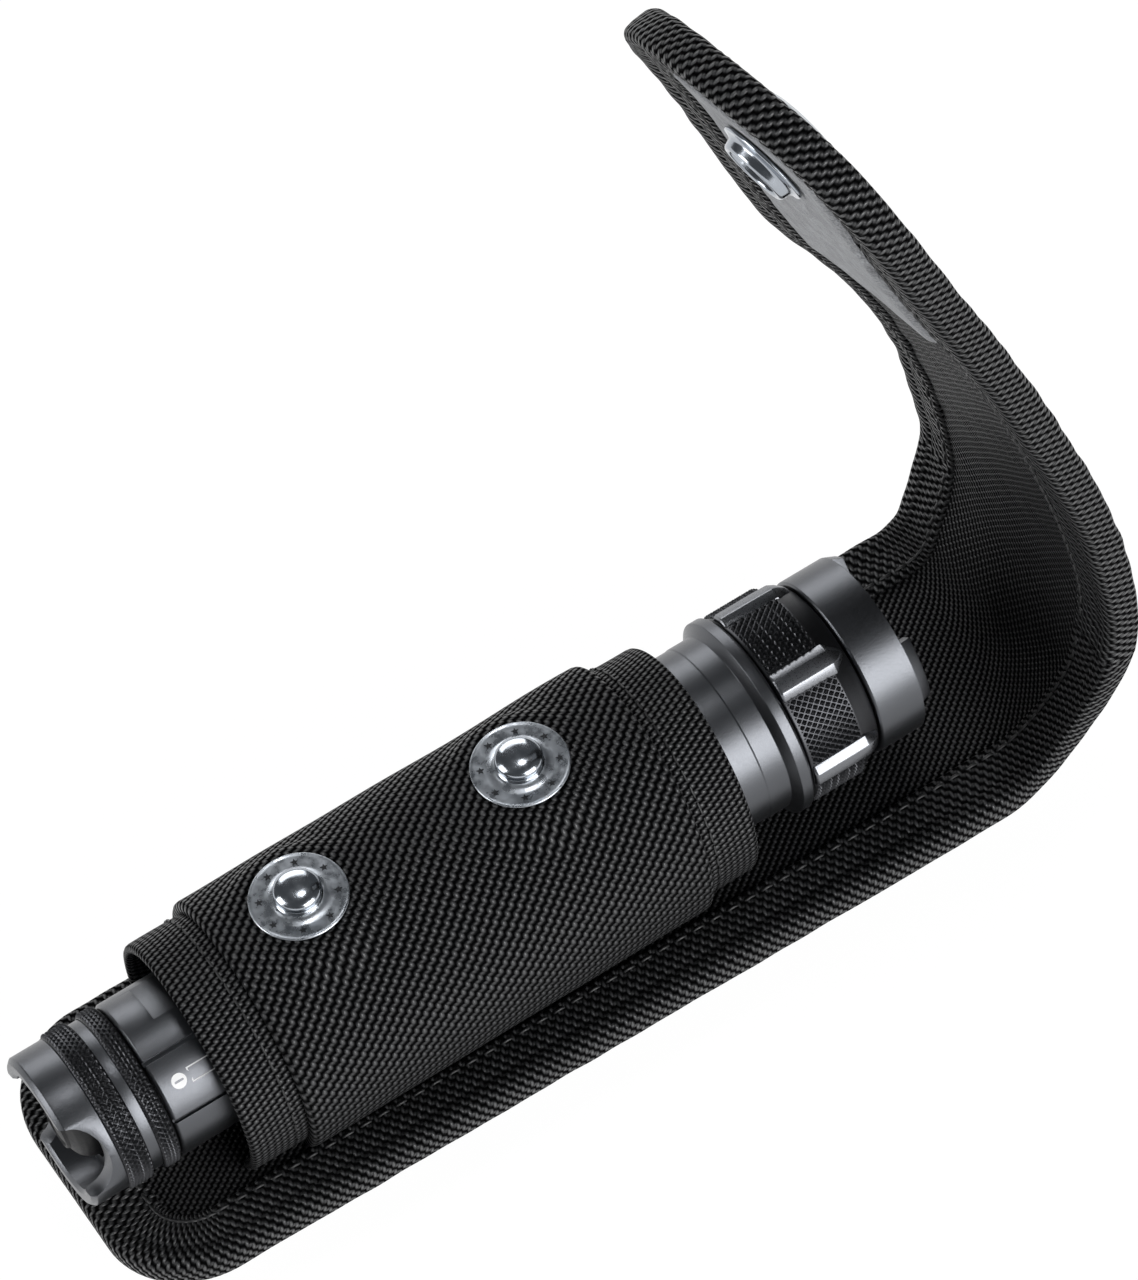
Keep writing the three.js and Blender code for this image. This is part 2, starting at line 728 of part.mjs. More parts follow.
const easeAt = (along) => Math.min(1, along / SHAPE_EASE);
const twistAt = (along) => rad(TWIST) * easeAt(along);
const onNeck = (along, across, height) => onLine(neckLine(along), across, height, 0, 0);
const onFlap = (along, across, height) =>
  onLine(flapLine(along), across, height, CUP * easeAt(along), twistAt(along));

function neckGeometry() {
  const stations = [FIT, 1.5, FOLD_FULL, 10, 18, 20, 22.5, 25, 32, 38];
  stations.push(NECK_LENGTH - FOLD_FULL, NECK_LENGTH - 1.5, NECK_LENGTH - FIT);
  return sheetSolid(stations.length - 1, 8, (u, v, side) => {
    const along = stations[Math.round(u * (stations.length - 1))];
    const thickness = foldThickness(Math.min(along, NECK_LENGTH - along));
    return onNeck(along, PANEL_HALF * (2 * v - 1), side * thickness);
  });
}

add("flap_neck", neckGeometry(), "nylon");

for (const [side, hand] of [
  ["left", 1],
  ["right", -1],
]) {
  const rail = sheetSolid(10, 1, (u, v, face) => {
    const along = THREE.MathUtils.lerp(BEAD_GAP, NECK_LENGTH - BEAD_GAP, u);
    const middle = hand * (HALF_WIDTH - BINDING_WIDTH / 2);
    const across = middle + BINDING_WIDTH * (v - 0.5);
    return onNeck(along, across, (face * BINDING_HEIGHT) / 2);
  });
  add("neck_binding_" + side, rail, "grosgrain");
}

function flapPanelGeometry() {
  const clear = 2 * FIT;
  const length = FLAP_LENGTH - FIT - BINDING_WIDTH - clear;
  return sheetSolid(20, 6, (u, v, side) => {
    const along = length * Math.sin((u * Math.PI) / 2) ** 1.2;
    const end = Math.max(0.4, length - along);
    const half = roundedHalfWidth(end, TIP_RADIUS - BINDING_WIDTH, PANEL_HALF) - FIT;
    return onFlap(along + FIT, half * (2 * v - 1), side * foldThickness(along + FIT));
  });
}

add("flap_panel", flapPanelGeometry(), "nylon");

const flapOutline = outlinePath(FLAP_LENGTH - BEAD_GAP, TIP_RADIUS, HALF_WIDTH, 12, 8);
const fromTip = (along, across, height) => onFlap(FLAP_LENGTH - along, -across, height);
add("flap_binding", edgeBead(flapOutline, fromTip), "grosgrain");

const patchFace = CLOTH / 2 + FIT;
const patch = sheetSolid(8, 6, (u, v, side) => {
  const along = THREE.MathUtils.lerp(PATCH_START, PATCH_END, u);
  const height = patchFace + (PATCH_CLOTH * (1 + side)) / 2;
  return onFlap(along, PATCH_HALF_WIDTH * (2 * v - 1), height);
});
add("hook_patch", patch, "hook");

// ---------- pouch: snap on the flap ----------

// Places a turned piece on the flap at the socket, its own +X axis towards the inside.
function onSocketAxis(mesh) {
  const at = flapLine(SOCKET_AT);
  const twist = twistAt(SOCKET_AT);
  const along = new THREE.Vector3(Math.cos(at.heading), 0, Math.sin(at.heading));
  const flatInward = new THREE.Vector3(-Math.sin(at.heading), 0, Math.cos(at.heading));
  const inward = flatInward.clone().applyAxisAngle(along, twist);
  const across = new THREE.Vector3().crossVectors(inward, along);
  mesh.position.set(at.x, 0, at.z);
  mesh.quaternion.setFromRotationMatrix(new THREE.Matrix4().makeBasis(inward, along, across));
}

const socketSeat = patchFace + PATCH_CLOTH + FIT;
const socketProfile = [
  [socketSeat, 3.9],
  [socketSeat, 6.4],
  [socketSeat + 0.5, 6.9],
  [socketSeat + 0.9, 6.6],
  [socketSeat + 1.2, 5.6],
  [socketSeat + 2.3, 5.2],
  [socketSeat + 2.6, 4.7],
  [socketSeat + 2.4, 4.0],
  [socketSeat, 3.9],
];
onSocketAxis(add("snap_socket", turned(socketProfile, SMALL_SIDES), "nickel"));

const capProfile = [
  [-CLOTH / 2 - FIT - 1.5, 0],
  [-CLOTH / 2 - FIT - 1.3, 4],
  [-CLOTH / 2 - FIT - 0.6, 7],
  [-CLOTH / 2 - FIT, 7.4],
  [-CLOTH / 2 - FIT, 0],
];
onSocketAxis(add("snap_cap", turned(capProfile, SMALL_SIDES), "nickel"));

export default object;
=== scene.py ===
import math

import bmesh
import bpy
import numpy as np
from mathutils import Matrix, Vector


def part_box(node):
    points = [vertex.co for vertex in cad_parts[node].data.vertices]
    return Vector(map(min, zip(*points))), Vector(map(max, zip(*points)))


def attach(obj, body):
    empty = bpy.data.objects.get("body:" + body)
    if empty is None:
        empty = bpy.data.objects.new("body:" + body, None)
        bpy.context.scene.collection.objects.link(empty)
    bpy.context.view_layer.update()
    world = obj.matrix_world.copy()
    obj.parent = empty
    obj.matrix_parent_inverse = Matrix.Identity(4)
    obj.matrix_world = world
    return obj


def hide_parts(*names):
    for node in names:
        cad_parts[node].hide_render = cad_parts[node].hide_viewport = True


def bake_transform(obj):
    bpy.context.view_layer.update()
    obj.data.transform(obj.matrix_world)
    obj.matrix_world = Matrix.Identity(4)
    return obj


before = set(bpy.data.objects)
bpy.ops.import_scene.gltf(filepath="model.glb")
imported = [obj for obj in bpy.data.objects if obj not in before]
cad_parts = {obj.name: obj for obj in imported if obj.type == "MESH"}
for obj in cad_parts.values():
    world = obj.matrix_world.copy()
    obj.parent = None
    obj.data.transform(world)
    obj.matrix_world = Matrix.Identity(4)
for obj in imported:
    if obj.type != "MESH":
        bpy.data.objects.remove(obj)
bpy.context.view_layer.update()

# ---------- the working frame: millimetres from the tail end, on the flashlight's axis ----------

MM = 0.001
tail_low, tail_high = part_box("tailcap")
TAIL_X = tail_low.x
AXIS_Z = (tail_low.z + tail_high.z) / 2


def spot(x, y, z):
    """A point given in millimetres from the tail end on the axis, as a point of the row frame."""
    return Vector((TAIL_X + x * MM, y * MM, AXIS_Z + z * MM))


def to_row(points):
    """An array of such points, in metres of the row frame."""
    return np.asarray(points, float) * MM + np.array([TAIL_X, 0.0, AXIS_Z])


def node_span(node):
    """Where a CAD node starts and ends along the flashlight, in millimetres from the tail."""
    low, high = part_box(node)
    return (low.x - TAIL_X) / MM, (high.x - TAIL_X) / MM


# ---------- materials ----------


class Paint:
    """A principled material and short ways of adding procedural nodes to it."""

    def __init__(self, name, color, roughness, metallic=0.0, **sockets):
        self.material = bpy.data.materials.new(name)
        self.material.use_nodes = True
        self.tree = self.material.node_tree
        self.shader = self.tree.nodes["Principled BSDF"]
        self.shader.inputs["Base Color"].default_value = (*color, 1)
        self.shader.inputs["Roughness"].default_value = roughness
        self.shader.inputs["Metallic"].default_value = metallic
        for socket, value in sockets.items():
            self.shader.inputs[socket.replace("_", " ")].default_value = value

    def node(self, kind, **settings):
        made = self.tree.nodes.new(kind)
        for key, value in settings.items():
            setattr(made, key, value)
        return made

    def link(self, source, target):
        self.tree.links.new(source, target)

    def put(self, socket, value):
        if hasattr(value, "is_output"):
            self.link(value, socket)
        else:
            socket.default_value = value

    def math(self, operation, *values):
        made = self.node("ShaderNodeMath", operation=operation)
        for socket, value in zip(made.inputs, values):
            self.put(socket, value)
        return made.outputs[0]

    def noise(self, scale, detail=2.0, where="Object"):
        coordinates = self.node("ShaderNodeTexCoord").outputs[where]
        made = self.node("ShaderNodeTexNoise")
        made.inputs["Scale"].default_value = scale
        made.inputs["Detail"].default_value = detail
        self.link(coordinates, made.inputs["Vector"])
        return made.outputs["Fac"]

    def spread(self, value, low, high, source=(0.0, 1.0)):
        made = self.node("ShaderNodeMapRange")
        self.put(made.inputs["Value"], value)
        made.inputs["From Min"].default_value = source[0]
        made.inputs["From Max"].default_value = source[1]
        made.inputs["To Min"].default_value = low
        made.inputs["To Max"].default_value = high
        return made.outputs["Result"]

    def colors(self, value, low, high):
        made = self.node("ShaderNodeMix", data_type="RGBA")
        self.put(made.inputs["Factor"], value)
        made.inputs["A"].default_value = (*low, 1)
        made.inputs["B"].default_value = (*high, 1)
        self.link(made.outputs["Result"], self.shader.inputs["Base Color"])

    def roughness(self, value, low, high, source=(0.0, 1.0)):
        self.link(self.spread(value, low, high, source), self.shader.inputs["Roughness"])

    def bump(self, height, distance, strength=1.0):
        made = self.node("ShaderNodeBump")
        made.inputs["Distance"].default_value = distance
        made.inputs["Strength"].default_value = strength
        self.link(height, made.inputs["Height"])
        if self.shader.inputs["Normal"].is_linked:
            before = self.shader.inputs["Normal"].links[0].from_socket
            self.link(before, made.inputs["Normal"])
        self.link(made.outputs["Normal"], self.shader.inputs["Normal"])


def satin_metal(name, color, roughness, grain=0.00002):
    """Bead blasted and anodised: an even satin with a fine sparkling grain."""
    paint = Paint(name, color, roughness, metallic=1.0)
    fine = paint.noise(5200, 3)
    broad = paint.noise(90, 2)
    paint.colors(broad, [c * 0.88 for c in color], [c * 1.12 for c in color])
    paint.roughness(fine, roughness - 0.05, roughness + 0.06, (0.3, 0.7))
    paint.bump(fine, grain, 0.8)
    return paint.material


def bright_metal(name, color, roughness, scratches=0.000012):
    """Plated or polished: mirror-like with faint handling marks."""
    paint = Paint(name, color, roughness, metallic=1.0)
    marks = paint.noise(700, 5)
    paint.colors(paint.noise(260, 3), [c * 0.85 for c in color], color)
    paint.roughness(marks, roughness * 0.7, roughness * 1.5, (0.3, 0.7))
    paint.bump(marks, scratches, 0.6)
    return paint.material


def plain_solid(name, color, roughness, grain_scale, grain, metallic=0.0, **sockets):
    """Rubber, moulded plastic, board or ceramic: a slightly uneven colour and a fine grain."""
    paint = Paint(name, color, roughness, metallic, **sockets)
    fine = paint.noise(grain_scale, 3)
    paint.colors(paint.noise(grain_scale / 12, 2), [c * 0.8 for c in color], color)
    paint.roughness(fine, roughness - 0.06, roughness + 0.06, (0.3, 0.7))
    paint.bump(fine, grain, 0.7)
    return paint.material


def woven(name, along, across, dark, light, depth, roughness=0.46):
    """A plain weave on the UV layer, which is in metres: pitch along U, and across it. Its colour darkens to
    near black down the yarns' sides and in the gaps between them, as painted shade.
    """
    paint = Paint(name, light, roughness, Sheen_Weight=0.02, Sheen_Roughness=0.4)
    uv = paint.node("ShaderNodeTexCoord").outputs["UV"]
    wobble = paint.noise(60, 2, "UV")
    split = paint.node("ShaderNodeSeparateXYZ")
    paint.link(uv, split.inputs[0])
    drift = paint.spread(wobble, -0.22, 0.22)
    u = paint.math("ADD", paint.math("MULTIPLY", split.outputs[0], 1 / along), drift)
    v = paint.math("ADD", paint.math("MULTIPLY", split.outputs[1], 1 / across), drift)

    def yarn(over, under, offset):
        """A round yarn that rises and dips once in two pitches."""
        side = paint.math("SUBTRACT", paint.math("FRACT", over), 0.5)
        body = paint.math("SUBTRACT", 1.0, paint.math("MULTIPLY", paint.math("MULTIPLY", side, side), 3.4))
        phase = paint.math("ADD", paint.math("ADD", under, paint.math("FLOOR", over)), offset)
        wave = paint.math("COSINE", paint.math("MULTIPLY", phase, math.pi))
        rise = paint.math("ADD", paint.math("MULTIPLY", wave, 0.5), 0.5)
        return paint.math("MULTIPLY", body, paint.math("POWER", rise, 0.6))

    warp = yarn(u, v, 0.0)
    weft = yarn(v, u, 1.0)
    height = paint.math("MAXIMUM", warp, paint.math("MULTIPLY", weft, 0.72))
    fibres = paint.noise(9000, 2, "UV")
    # Painted shade: the yarn colour on the crowns falls to near black down the yarns' sides and in the gaps
    # between them.
    painted_gap_shade = paint.math("MULTIPLY", paint.math("POWER", paint.math("MAXIMUM", height, 0.0), 2.2),
                     paint.spread(fibres, 0.35, 1.25, (0.3, 0.7)))
    paint.colors(painted_gap_shade, dark, light)
    paint.roughness(height, roughness + 0.25, roughness - 0.08)
    gloss = paint.spread(height, 0.0, 0.7, (0.45, 1.0))
    paint.link(gloss, paint.shader.inputs["Specular IOR Level"])
    paint.bump(height, depth * 1.4, 1.0)
    paint.bump(fibres, depth * 0.12, 0.6)
    return paint.material


def hook_tape():
    paint = Paint("hook tape", (0.16, 0.165, 0.175), 0.7, Sheen_Weight=0.3)
    fine = paint.noise(2600, 4)
    clumps = paint.noise(500, 3)
    paint.colors(paint.math("MULTIPLY", fine, clumps), (0.03, 0.032, 0.036), (0.62, 0.64, 0.68))
    paint.roughness(fine, 0.45, 0.85)
    paint.bump(fine, 0.0004, 1.0)
    return paint.material


def clear_glass():
    paint = Paint("coated glass", (0.95, 0.98, 1.0), 0.02, Transmission_Weight=1.0, IOR=1.5)
    paint.roughness(paint.noise(400, 2), 0.01, 0.04)
    paint.bump(paint.noise(120, 2), 0.000004, 0.3)
    return paint.material


ANODISED = satin_metal("black anodised", (0.105, 0.109, 0.118), 0.35)
# Painted shade: the same black anodised finish at about half the brightness, standing in for the shade among
# the knurl points.
SHADED_KNURL = satin_metal("black anodised, painted knurl shade", (0.05, 0.051, 0.055), 0.38)
POLISHED = satin_metal("polished rib", (0.2, 0.206, 0.22), 0.3, 0.00001)
MACHINED = bright_metal("machined aluminium", (0.72, 0.73, 0.75), 0.3)
NICKEL = bright_metal("dark nickel", (0.42, 0.45, 0.49), 0.17)
FLANGE = bright_metal("clear flange", (0.5, 0.53, 0.57), 0.28)
# Painted shade: a near black metal for the stamped stars, standing in for the shade in their recesses.
STAR_SHADE = plain_solid("painted shade in stamped stars", (0.05, 0.052, 0.056), 0.5, 3000, 0.00002, 1.0)
SPRING = bright_metal("gilt spring", (0.8, 0.6, 0.28), 0.22)
MIRROR = bright_metal("reflector coating", (0.92, 0.93, 0.94), 0.06, 0.000003)
GLASS = clear_glass()
RUBBER = plain_solid("silicone rubber", (0.012, 0.012, 0.013), 0.6, 2500, 0.00003)
BOARD = plain_solid("circuit board", (0.02, 0.11, 0.05), 0.4, 2000, 0.00002)
WHITE_BOARD = plain_solid("white mask board", (0.75, 0.75, 0.72), 0.45, 2000, 0.00001)
PHOSPHOR = plain_solid("phosphor", (0.85, 0.68, 0.08), 0.25, 3000, 0.00001, Coat_Weight=0.6)
PLASTIC = plain_solid("switch plastic", (0.03, 0.03, 0.035), 0.4, 2200, 0.00002)
SLEEVE = plain_solid("cell sleeve", (0.1, 0.14, 0.2), 0.3, 900, 0.00002)
PRINT = plain_solid("white print", (0.8, 0.8, 0.8), 0.55, 4000, 0.000005)
NYLON = woven("ballistic nylon", 0.00105, 0.0009, (0.0008, 0.0008, 0.0009), (0.05, 0.051, 0.054), 0.00042)
LINING = woven("lining nylon", 0.00078, 0.00062, (0.0008, 0.0008, 0.0009), (0.036, 0.0365, 0.039), 0.00025)
TAPE = woven("grosgrain tape", 0.00078, 0.0011, (0.0008, 0.0008, 0.0009), (0.06, 0.061, 0.064), 0.00036, 0.4)
BAND = woven("grosgrain band", 0.0011, 0.0006, (0.001, 0.001, 0.0011), (0.055, 0.056, 0.059), 0.00026, 0.45)
THREAD = plain_solid("sewing thread", (0.012, 0.0122, 0.013), 0.45, 5000, 0.00005)
HOOK = hook_tape()

# ---------- mesh helpers ----------


def make(name, points, faces, material, body, uv=None, sharp=35, indices=None):
    """A mesh object from row frame points, riding on a body. More materials may be listed."""
    mesh = bpy.data.meshes.new(name)
    mesh.from_pydata([tuple(p) for p in points], [], [tuple(f) for f in faces])
    shell = bmesh.new()
    shell.from_mesh(mesh)
    bmesh.ops.recalc_face_normals(shell, faces=shell.faces)
    shell.to_mesh(mesh)
    shell.free()
    materials = material if isinstance(material, (list, tuple)) else [material]
    for each in materials:
        mesh.materials.append(each)
    if indices is not None:
        mesh.polygons.foreach_set("material_index", indices)
    if uv is not None:
        layer = mesh.uv_layers.new(name="cloth")
        loops = np.empty(len(mesh.loops), int)
        mesh.loops.foreach_get("vertex_index", loops)
        layer.data.foreach_set("uv", np.asarray(uv, float)[loops].ravel())
    mesh.shade_smooth()
    mesh.set_sharp_from_angle(angle=math.radians(sharp))
    made = bpy.data.objects.new(name, mesh)
    bpy.context.scene.collection.objects.link(made)
    if body:
        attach(made, body)
    return made


def grid_faces(rows, columns, close_rows=False, close_columns=False, offset=0):
    """Quads of a grid whose points are stored row by row."""
    faces = []
    for i in range(rows if close_rows else rows - 1):
        for j in range(columns if close_columns else columns - 1):
            a = i * columns + j
            b = i * columns + (j + 1) % columns
            c = ((i + 1) % rows) * columns + (j + 1) % columns
            d = ((i + 1) % rows) * columns + j
            faces.append((a + offset, b + offset, c + offset, d + offset))
    return faces


def closed_sheet(rows, columns):
    """Faces of two stacked grids: those of the first, those of the second, and the edge between."""
    total = rows * columns
    front = grid_faces(rows, columns)
    back = [tuple(reversed(face)) for face in grid_faces(rows, columns, offset=total)]
    rim = [i * columns for i in range(rows)]
    rim += [(rows - 1) * columns + j for j in range(1, columns)]
    rim += [i * columns + columns - 1 for i in range(rows - 2, -1, -1)]
    rim += list(range(columns - 2, 0, -1))
    edge = [(a, b, b + total, a + total) for a, b in zip(rim, rim[1:] + rim[:1])]
    return front, back, edge


def rounded(profile, size):
    """The profile with its corners eased over the given length on each side."""
    points = [Vector(p) for p in profile]
    result = [points[0]]
    for before, corner, after in zip(points, points[1:], points[2:]):
        back = before - corner
        ahead = after - corner
        reach = min(size, back.length * 0.45, ahead.length * 0.45)
        start = corner + back.normalized() * reach
        end = corner + ahead.normalized() * reach
        for step in (0.0, 0.33, 0.67, 1.0):
            low = start.lerp(corner, step)
            result.append(low.lerp(corner.lerp(end, step), step))
    result.append(points[-1])
    return [tuple(p) for p in result]


def lathe_points(profile, sides):
    """Row by row points of a profile of (station, radius) turned about the X axis."""
    angles = np.arange(sides) / sides * 2 * math.pi
    rows = []
    for station, radius in profile:
        ring = np.stack([np.full(sides, station), radius * np.sin(angles), radius * np.cos(angles)], 1)
        rows.append(ring)
    return np.concatenate(rows)


def lathe(name, profile, material, body, sides=160, ease=0.0, closed=False, place=to_row, sharp=35):
    """A turned piece. A closed profile is a loop, and an open one ends on the axis or at a rim."""
    outline = rounded(profile, ease) if ease else list(profile)
    if closed and outline[0] == outline[-1]:
        outline = outline[:-1]
    outline = [(station, max(radius, 0.004)) for station, radius in outline]
    points = place(lathe_points(outline, sides))
    faces = grid_faces(len(outline), sides, close_rows=closed, close_columns=True)
    if not closed:
        faces.append(tuple(range(sides))[::-1])
        faces.append(tuple(range((len(outline) - 1) * sides, len(outline) * sides)))
    return make(name, points, faces, material, body, sharp=sharp)


def radial(points, degrees):
    """Turns points modelled pointing up to point at an angle from +Z towards -Y."""
    points = np.asarray(points, float)
    c, s = math.cos(math.radians(degrees)), math.sin(math.radians(degrees))
    x, y, z = points.T
    return np.stack([x, y * c - z * s, y * s + z * c], 1)


def box_points(x0, x1, y0, y1, z0, z1):
    return [(x, y, z) for x in (x0, x1) for y in (y0, y1) for z in (z0, z1)]


BOX_FACES = [(0, 1, 3, 2), (4, 6, 7, 5), (0, 4, 5, 1), (2, 3, 7, 6), (0, 2, 6, 4), (1, 5, 7, 3)]


def cut(piece, cutters):
    """Cuts the cutters from a piece and removes them."""
    bpy.context.view_layer.update()
    for cutter in cutters:
        change = piece.modifiers.new("cut", "BOOLEAN")
        change.operation = "DIFFERENCE"
        change.solver = "EXACT"
        change.object = cutter
    apply_modifiers(piece)
    for cutter in cutters:
        bpy.data.objects.remove(cutter)


def apply_modifiers(piece):
    """Leaves the piece with the mesh that its modifiers give."""
    bpy.context.view_layer.update()
    graph = bpy.context.evaluated_depsgraph_get()
    mesh = bpy.data.meshes.new_from_object(piece.evaluated_get(graph), depsgraph=graph)
    piece.modifiers.clear()
    piece.data = mesh


def soften_edges(piece, width, angle=40):
    """Narrow rounded edges where the piece turns sharply."""
    bevel = piece.modifiers.new("edges", "BEVEL")
    bevel.width = width * MM
    bevel.segments = 2
    bevel.limit_method = "ANGLE"
    bevel.angle_limit = math.radians(angle)
    apply_modifiers(piece)
    piece.data.shade_smooth()
    piece.data.set_sharp_from_angle(angle=math.radians(35))


def triangle_wave(value):
    return 1 - np.abs(2 * (value - np.floor(value)) - 1)


def knurl(name, start, end, radius, depth, material, body, first=0.0, last=360.0, pitch=1.0):
    """A band of diamond points between two stations, and between two angles if it is a pad."""
    whole = last - first >= 360
    around = math.radians(last - first) * radius
    count = max(1, round(around / pitch))
    columns = count * 8
    rows = max(8, int((end - start) / pitch * 9))
    angles = np.radians(first + (last - first) * np.arange(columns + (0 if whole else 1)) / columns)
    stations = np.linspace(start, end, rows)
    station, angle = np.meshgrid(stations, angles, indexing="ij")
    u = (angle - math.radians(first)) / math.radians(last - first) * count
    v = (station - start) / pitch
    height = np.minimum(triangle_wave(u + v), triangle_wave(u - v))
    margin = np.minimum(station - start, end - station) / 0.35
    if not whole:
        sideways = np.minimum(angle - angles[0], angles[-1] - angle) * radius / 0.35
        margin = np.minimum(margin, sideways)
    ramp = np.clip(margin, 0, 1)
    out = radius - depth + depth * np.minimum(height * 1.25, 1.0) * ramp - 0.25 * (1 - ramp)
    points = np.stack([station, -out * np.sin(angle), out * np.cos(angle)], -1).reshape(-1, 3)
    faces = grid_faces(rows, len(angles), close_columns=whole)
    return make(name, to_row(points), faces, material, body, sharp=25)


# ---------- flashlight: tailcap ----------

SCOOP_ANGLE = 65
KNURL_PITCH = 1.15


def tailcap():
    crown = lathe("tailcap_crown", [
        (0.5, 9.4), (0, 10), (0, 11.5), (0.7, 12.2), (5.85, 12.2), (5.95, 11.6),
        (14.5, 11.6), (14.5, 10.4), (6.2, 10.4), (6.2, 6.7), (5.0, 6.7), (5.0, 9.4), (0.5, 9.4),
    ], ANODISED, "tailcap", sides=144, ease=0.12, closed=True)
    angles = np.linspace(0, 2 * math.pi, 64, endpoint=False)
    scoop = [(0.3 + 4.3 * math.cos(a), 6.2 * math.sin(a), z) for z in (-30, 30) for a in angles]
    cutter = make("scoop", to_row(radial(scoop, SCOOP_ANGLE)),
                  grid_faces(2, 64, close_columns=True)
                  + [tuple(range(64))[::-1], tuple(range(64, 128))], ANODISED, None)
    cut(crown, [cutter])
    soften_edges(crown, 0.22)
    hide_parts("tailcap")
    # The knurl bands take the darkened anodised colour, which is painted shade among the knurl points.
    pieces = [
        knurl("tailcap_knurl_rear", 5.9, 10.0, 12.75, 0.42, SHADED_KNURL, "tailcap", pitch=KNURL_PITCH),
        knurl("tailcap_knurl_front", 11.7, 14.6, 12.75, 0.42, SHADED_KNURL, "tailcap", pitch=KNURL_PITCH),
        lathe("tailcap_groove", [(9.8, 11.4), (9.85, 12.0), (11.75, 12.0), (11.8, 11.4)],
              ANODISED, "tailcap", ease=0.2),
    ]


def tail_switch():
    boot = lathe("switch_boot_dome", [
        (1.2, 0), (1.25, 1.2), (1.5, 2.6), (1.9, 3.8), (2.5, 4.9), (3.3, 5.6), (4.2, 6.0), (6, 6.2),
        (6, 5.2), (4.4, 5), (3.4, 4), (3, 2.2), (2.9, 0),
    ], RUBBER, "button", sides=96, ease=0.3)
    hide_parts("switch_boot")
    ridge = lathe("switch_boot_ridge", [(1.55, 2.5), (1.2, 2.7), (1.25, 3.0), (1.75, 3.3)],
                  RUBBER, "button", sides=96)


# ---------- flashlight: body ----------

LABEL_ANGLES = (24, 70)
MARK_ANGLE = 45


def body_tube():
    tube = lathe("body_tube_shell", [
        (9.4, 8.7), (9.4, 10.2), (12.6, 10.2), (12.6, 9.3), (13.8, 9.3), (13.8, 10.2), (14.9, 10.2),
        (14.9, 11.9), (15.3, 12.35), (95, 12.35), (95, 11.6), (96.8, 11.6), (96.8, 11.9),
        (104, 11.9), (104, 10.4), (99.6, 10.4), (99.6, 8.7), (9.4, 8.7),
    ], ANODISED, "flashlight", sides=180, ease=0.12, closed=True)
    cutters = []
    for angle in LABEL_ANGLES:
        groove = box_points(13, 23.9, -0.35, 0.35, 11.75, 14)
        cutters.append(make("groove", to_row(radial(groove, angle)), BOX_FACES, ANODISED, None))
    for angle in (-20, 160):
        flat = box_points(19.8, 60, -10, 10, 12.35 * math.cos(math.radians(20)), 15)
        cutters.append(make("flat", to_row(radial(flat, angle)), BOX_FACES, ANODISED, None))
    cut(tube, cutters)
    soften_edges(tube, 0.1)
    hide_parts("body_tube")


def on_tube(name, outline, hole, lift=0.03):
    """A thin printed shape on the tube: outlines of (station, millimetres round from the mark)."""
    radius = 12.35 + lift
    loops = [outline, hole] if hole else [outline]
    points = []
    for loop in loops:
        for station, around in loop:
            angle = math.radians(MARK_ANGLE) + around / radius
            points.append((station, -radius * math.sin(angle), radius * math.cos(angle)))
    count = len(outline)
    if hole:
        faces = [(i, (i + 1) % count, count + (i + 1) % count, count + i) for i in range(count)]
    else:
        faces = [tuple(range(count))]
    piece = make(name, to_row(points), faces, PRINT, "flashlight", sharp=180)


def polarity_mark():
    """A minus sign in a round spot, and an empty box beside it."""
    steps = 40
    centre = 18.2
    circle = [(centre + 1.15 * math.cos(a), 1.15 * math.sin(a))
              for a in np.linspace(0, 2 * math.pi, steps, endpoint=False)]
    bar = []
    for station, around in circle:
        x, y = station - centre, around
        scale = min(0.72 / max(abs(x), 1e-6), 0.17 / max(abs(y), 1e-6))
        bar.append((centre + x * scale, y * scale))
    on_tube("polarity_mark", circle, bar)
    outer = [(19.9, -1.2), (26.6, -1.2), (26.6, 1.2), (19.9, 1.2)]
    inner = [(20.1, -1.0), (26.4, -1.0), (26.4, 1.0), (20.1, 1.0)]
    on_tube("label_box", outer, inner)


# ---------- flashlight: head ----------

RIB_ANGLES = [27 + 60 * step for step in range(6)]
PAD_RADIUS = 15.6


def head_neck():
    neck = lathe("head_neck_shell", [
        (97.1, 12.0), (97.1, 13.3), (98.0, 14.12), (105.2, 14.12), (105.35, 14.2), (113.9, 14.2),
        (114.1, 14.3), (117.6, 14.3), (118.7, 16.0), (120.3, 16.0), (120.7, 15.6), (120.7, 12.5),
        (104.3, 12.5), (104.3, 12.0), (97.1, 12.0),
    ], ANODISED, "flashlight", sides=200, ease=0.1, closed=True)
    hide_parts("head_neck")


def rib(name, degrees):
    """A bar with a flat polished top, flared sides and a prow at its front."""
    sections = [
        (121.15, 1.05, 2.0, 15.9), (121.5, 1.1, 2.3, 16.2), (127.5, 1.1, 2.4, 16.2),
        (130.4, 1.05, 2.5, 16.15), (131.4, 0.7, 1.9, 15.75), (132.4, 0.25, 0.9, 15.0),
        (132.9, 0.08, 0.4, 14.3),
    ]
    points = []
    for station, top, foot, height in sections:
        points += [(station, -foot, 13.6), (station, -foot, 15.2 if station < 131 else 14.2),
                   (station, -top, height), (station, top, height),
                   (station, foot, 15.2 if station < 131 else 14.2), (station, foot, 13.6)]
    faces = grid_faces(len(sections), 6, close_columns=True)
    faces += [tuple(range(6))[::-1], tuple(range((len(sections) - 1) * 6, len(sections) * 6))]
    made = make(name, to_row(radial(points, degrees)), faces, POLISHED, "flashlight", sharp=30)
    soften_edges(made, 0.12, 30)


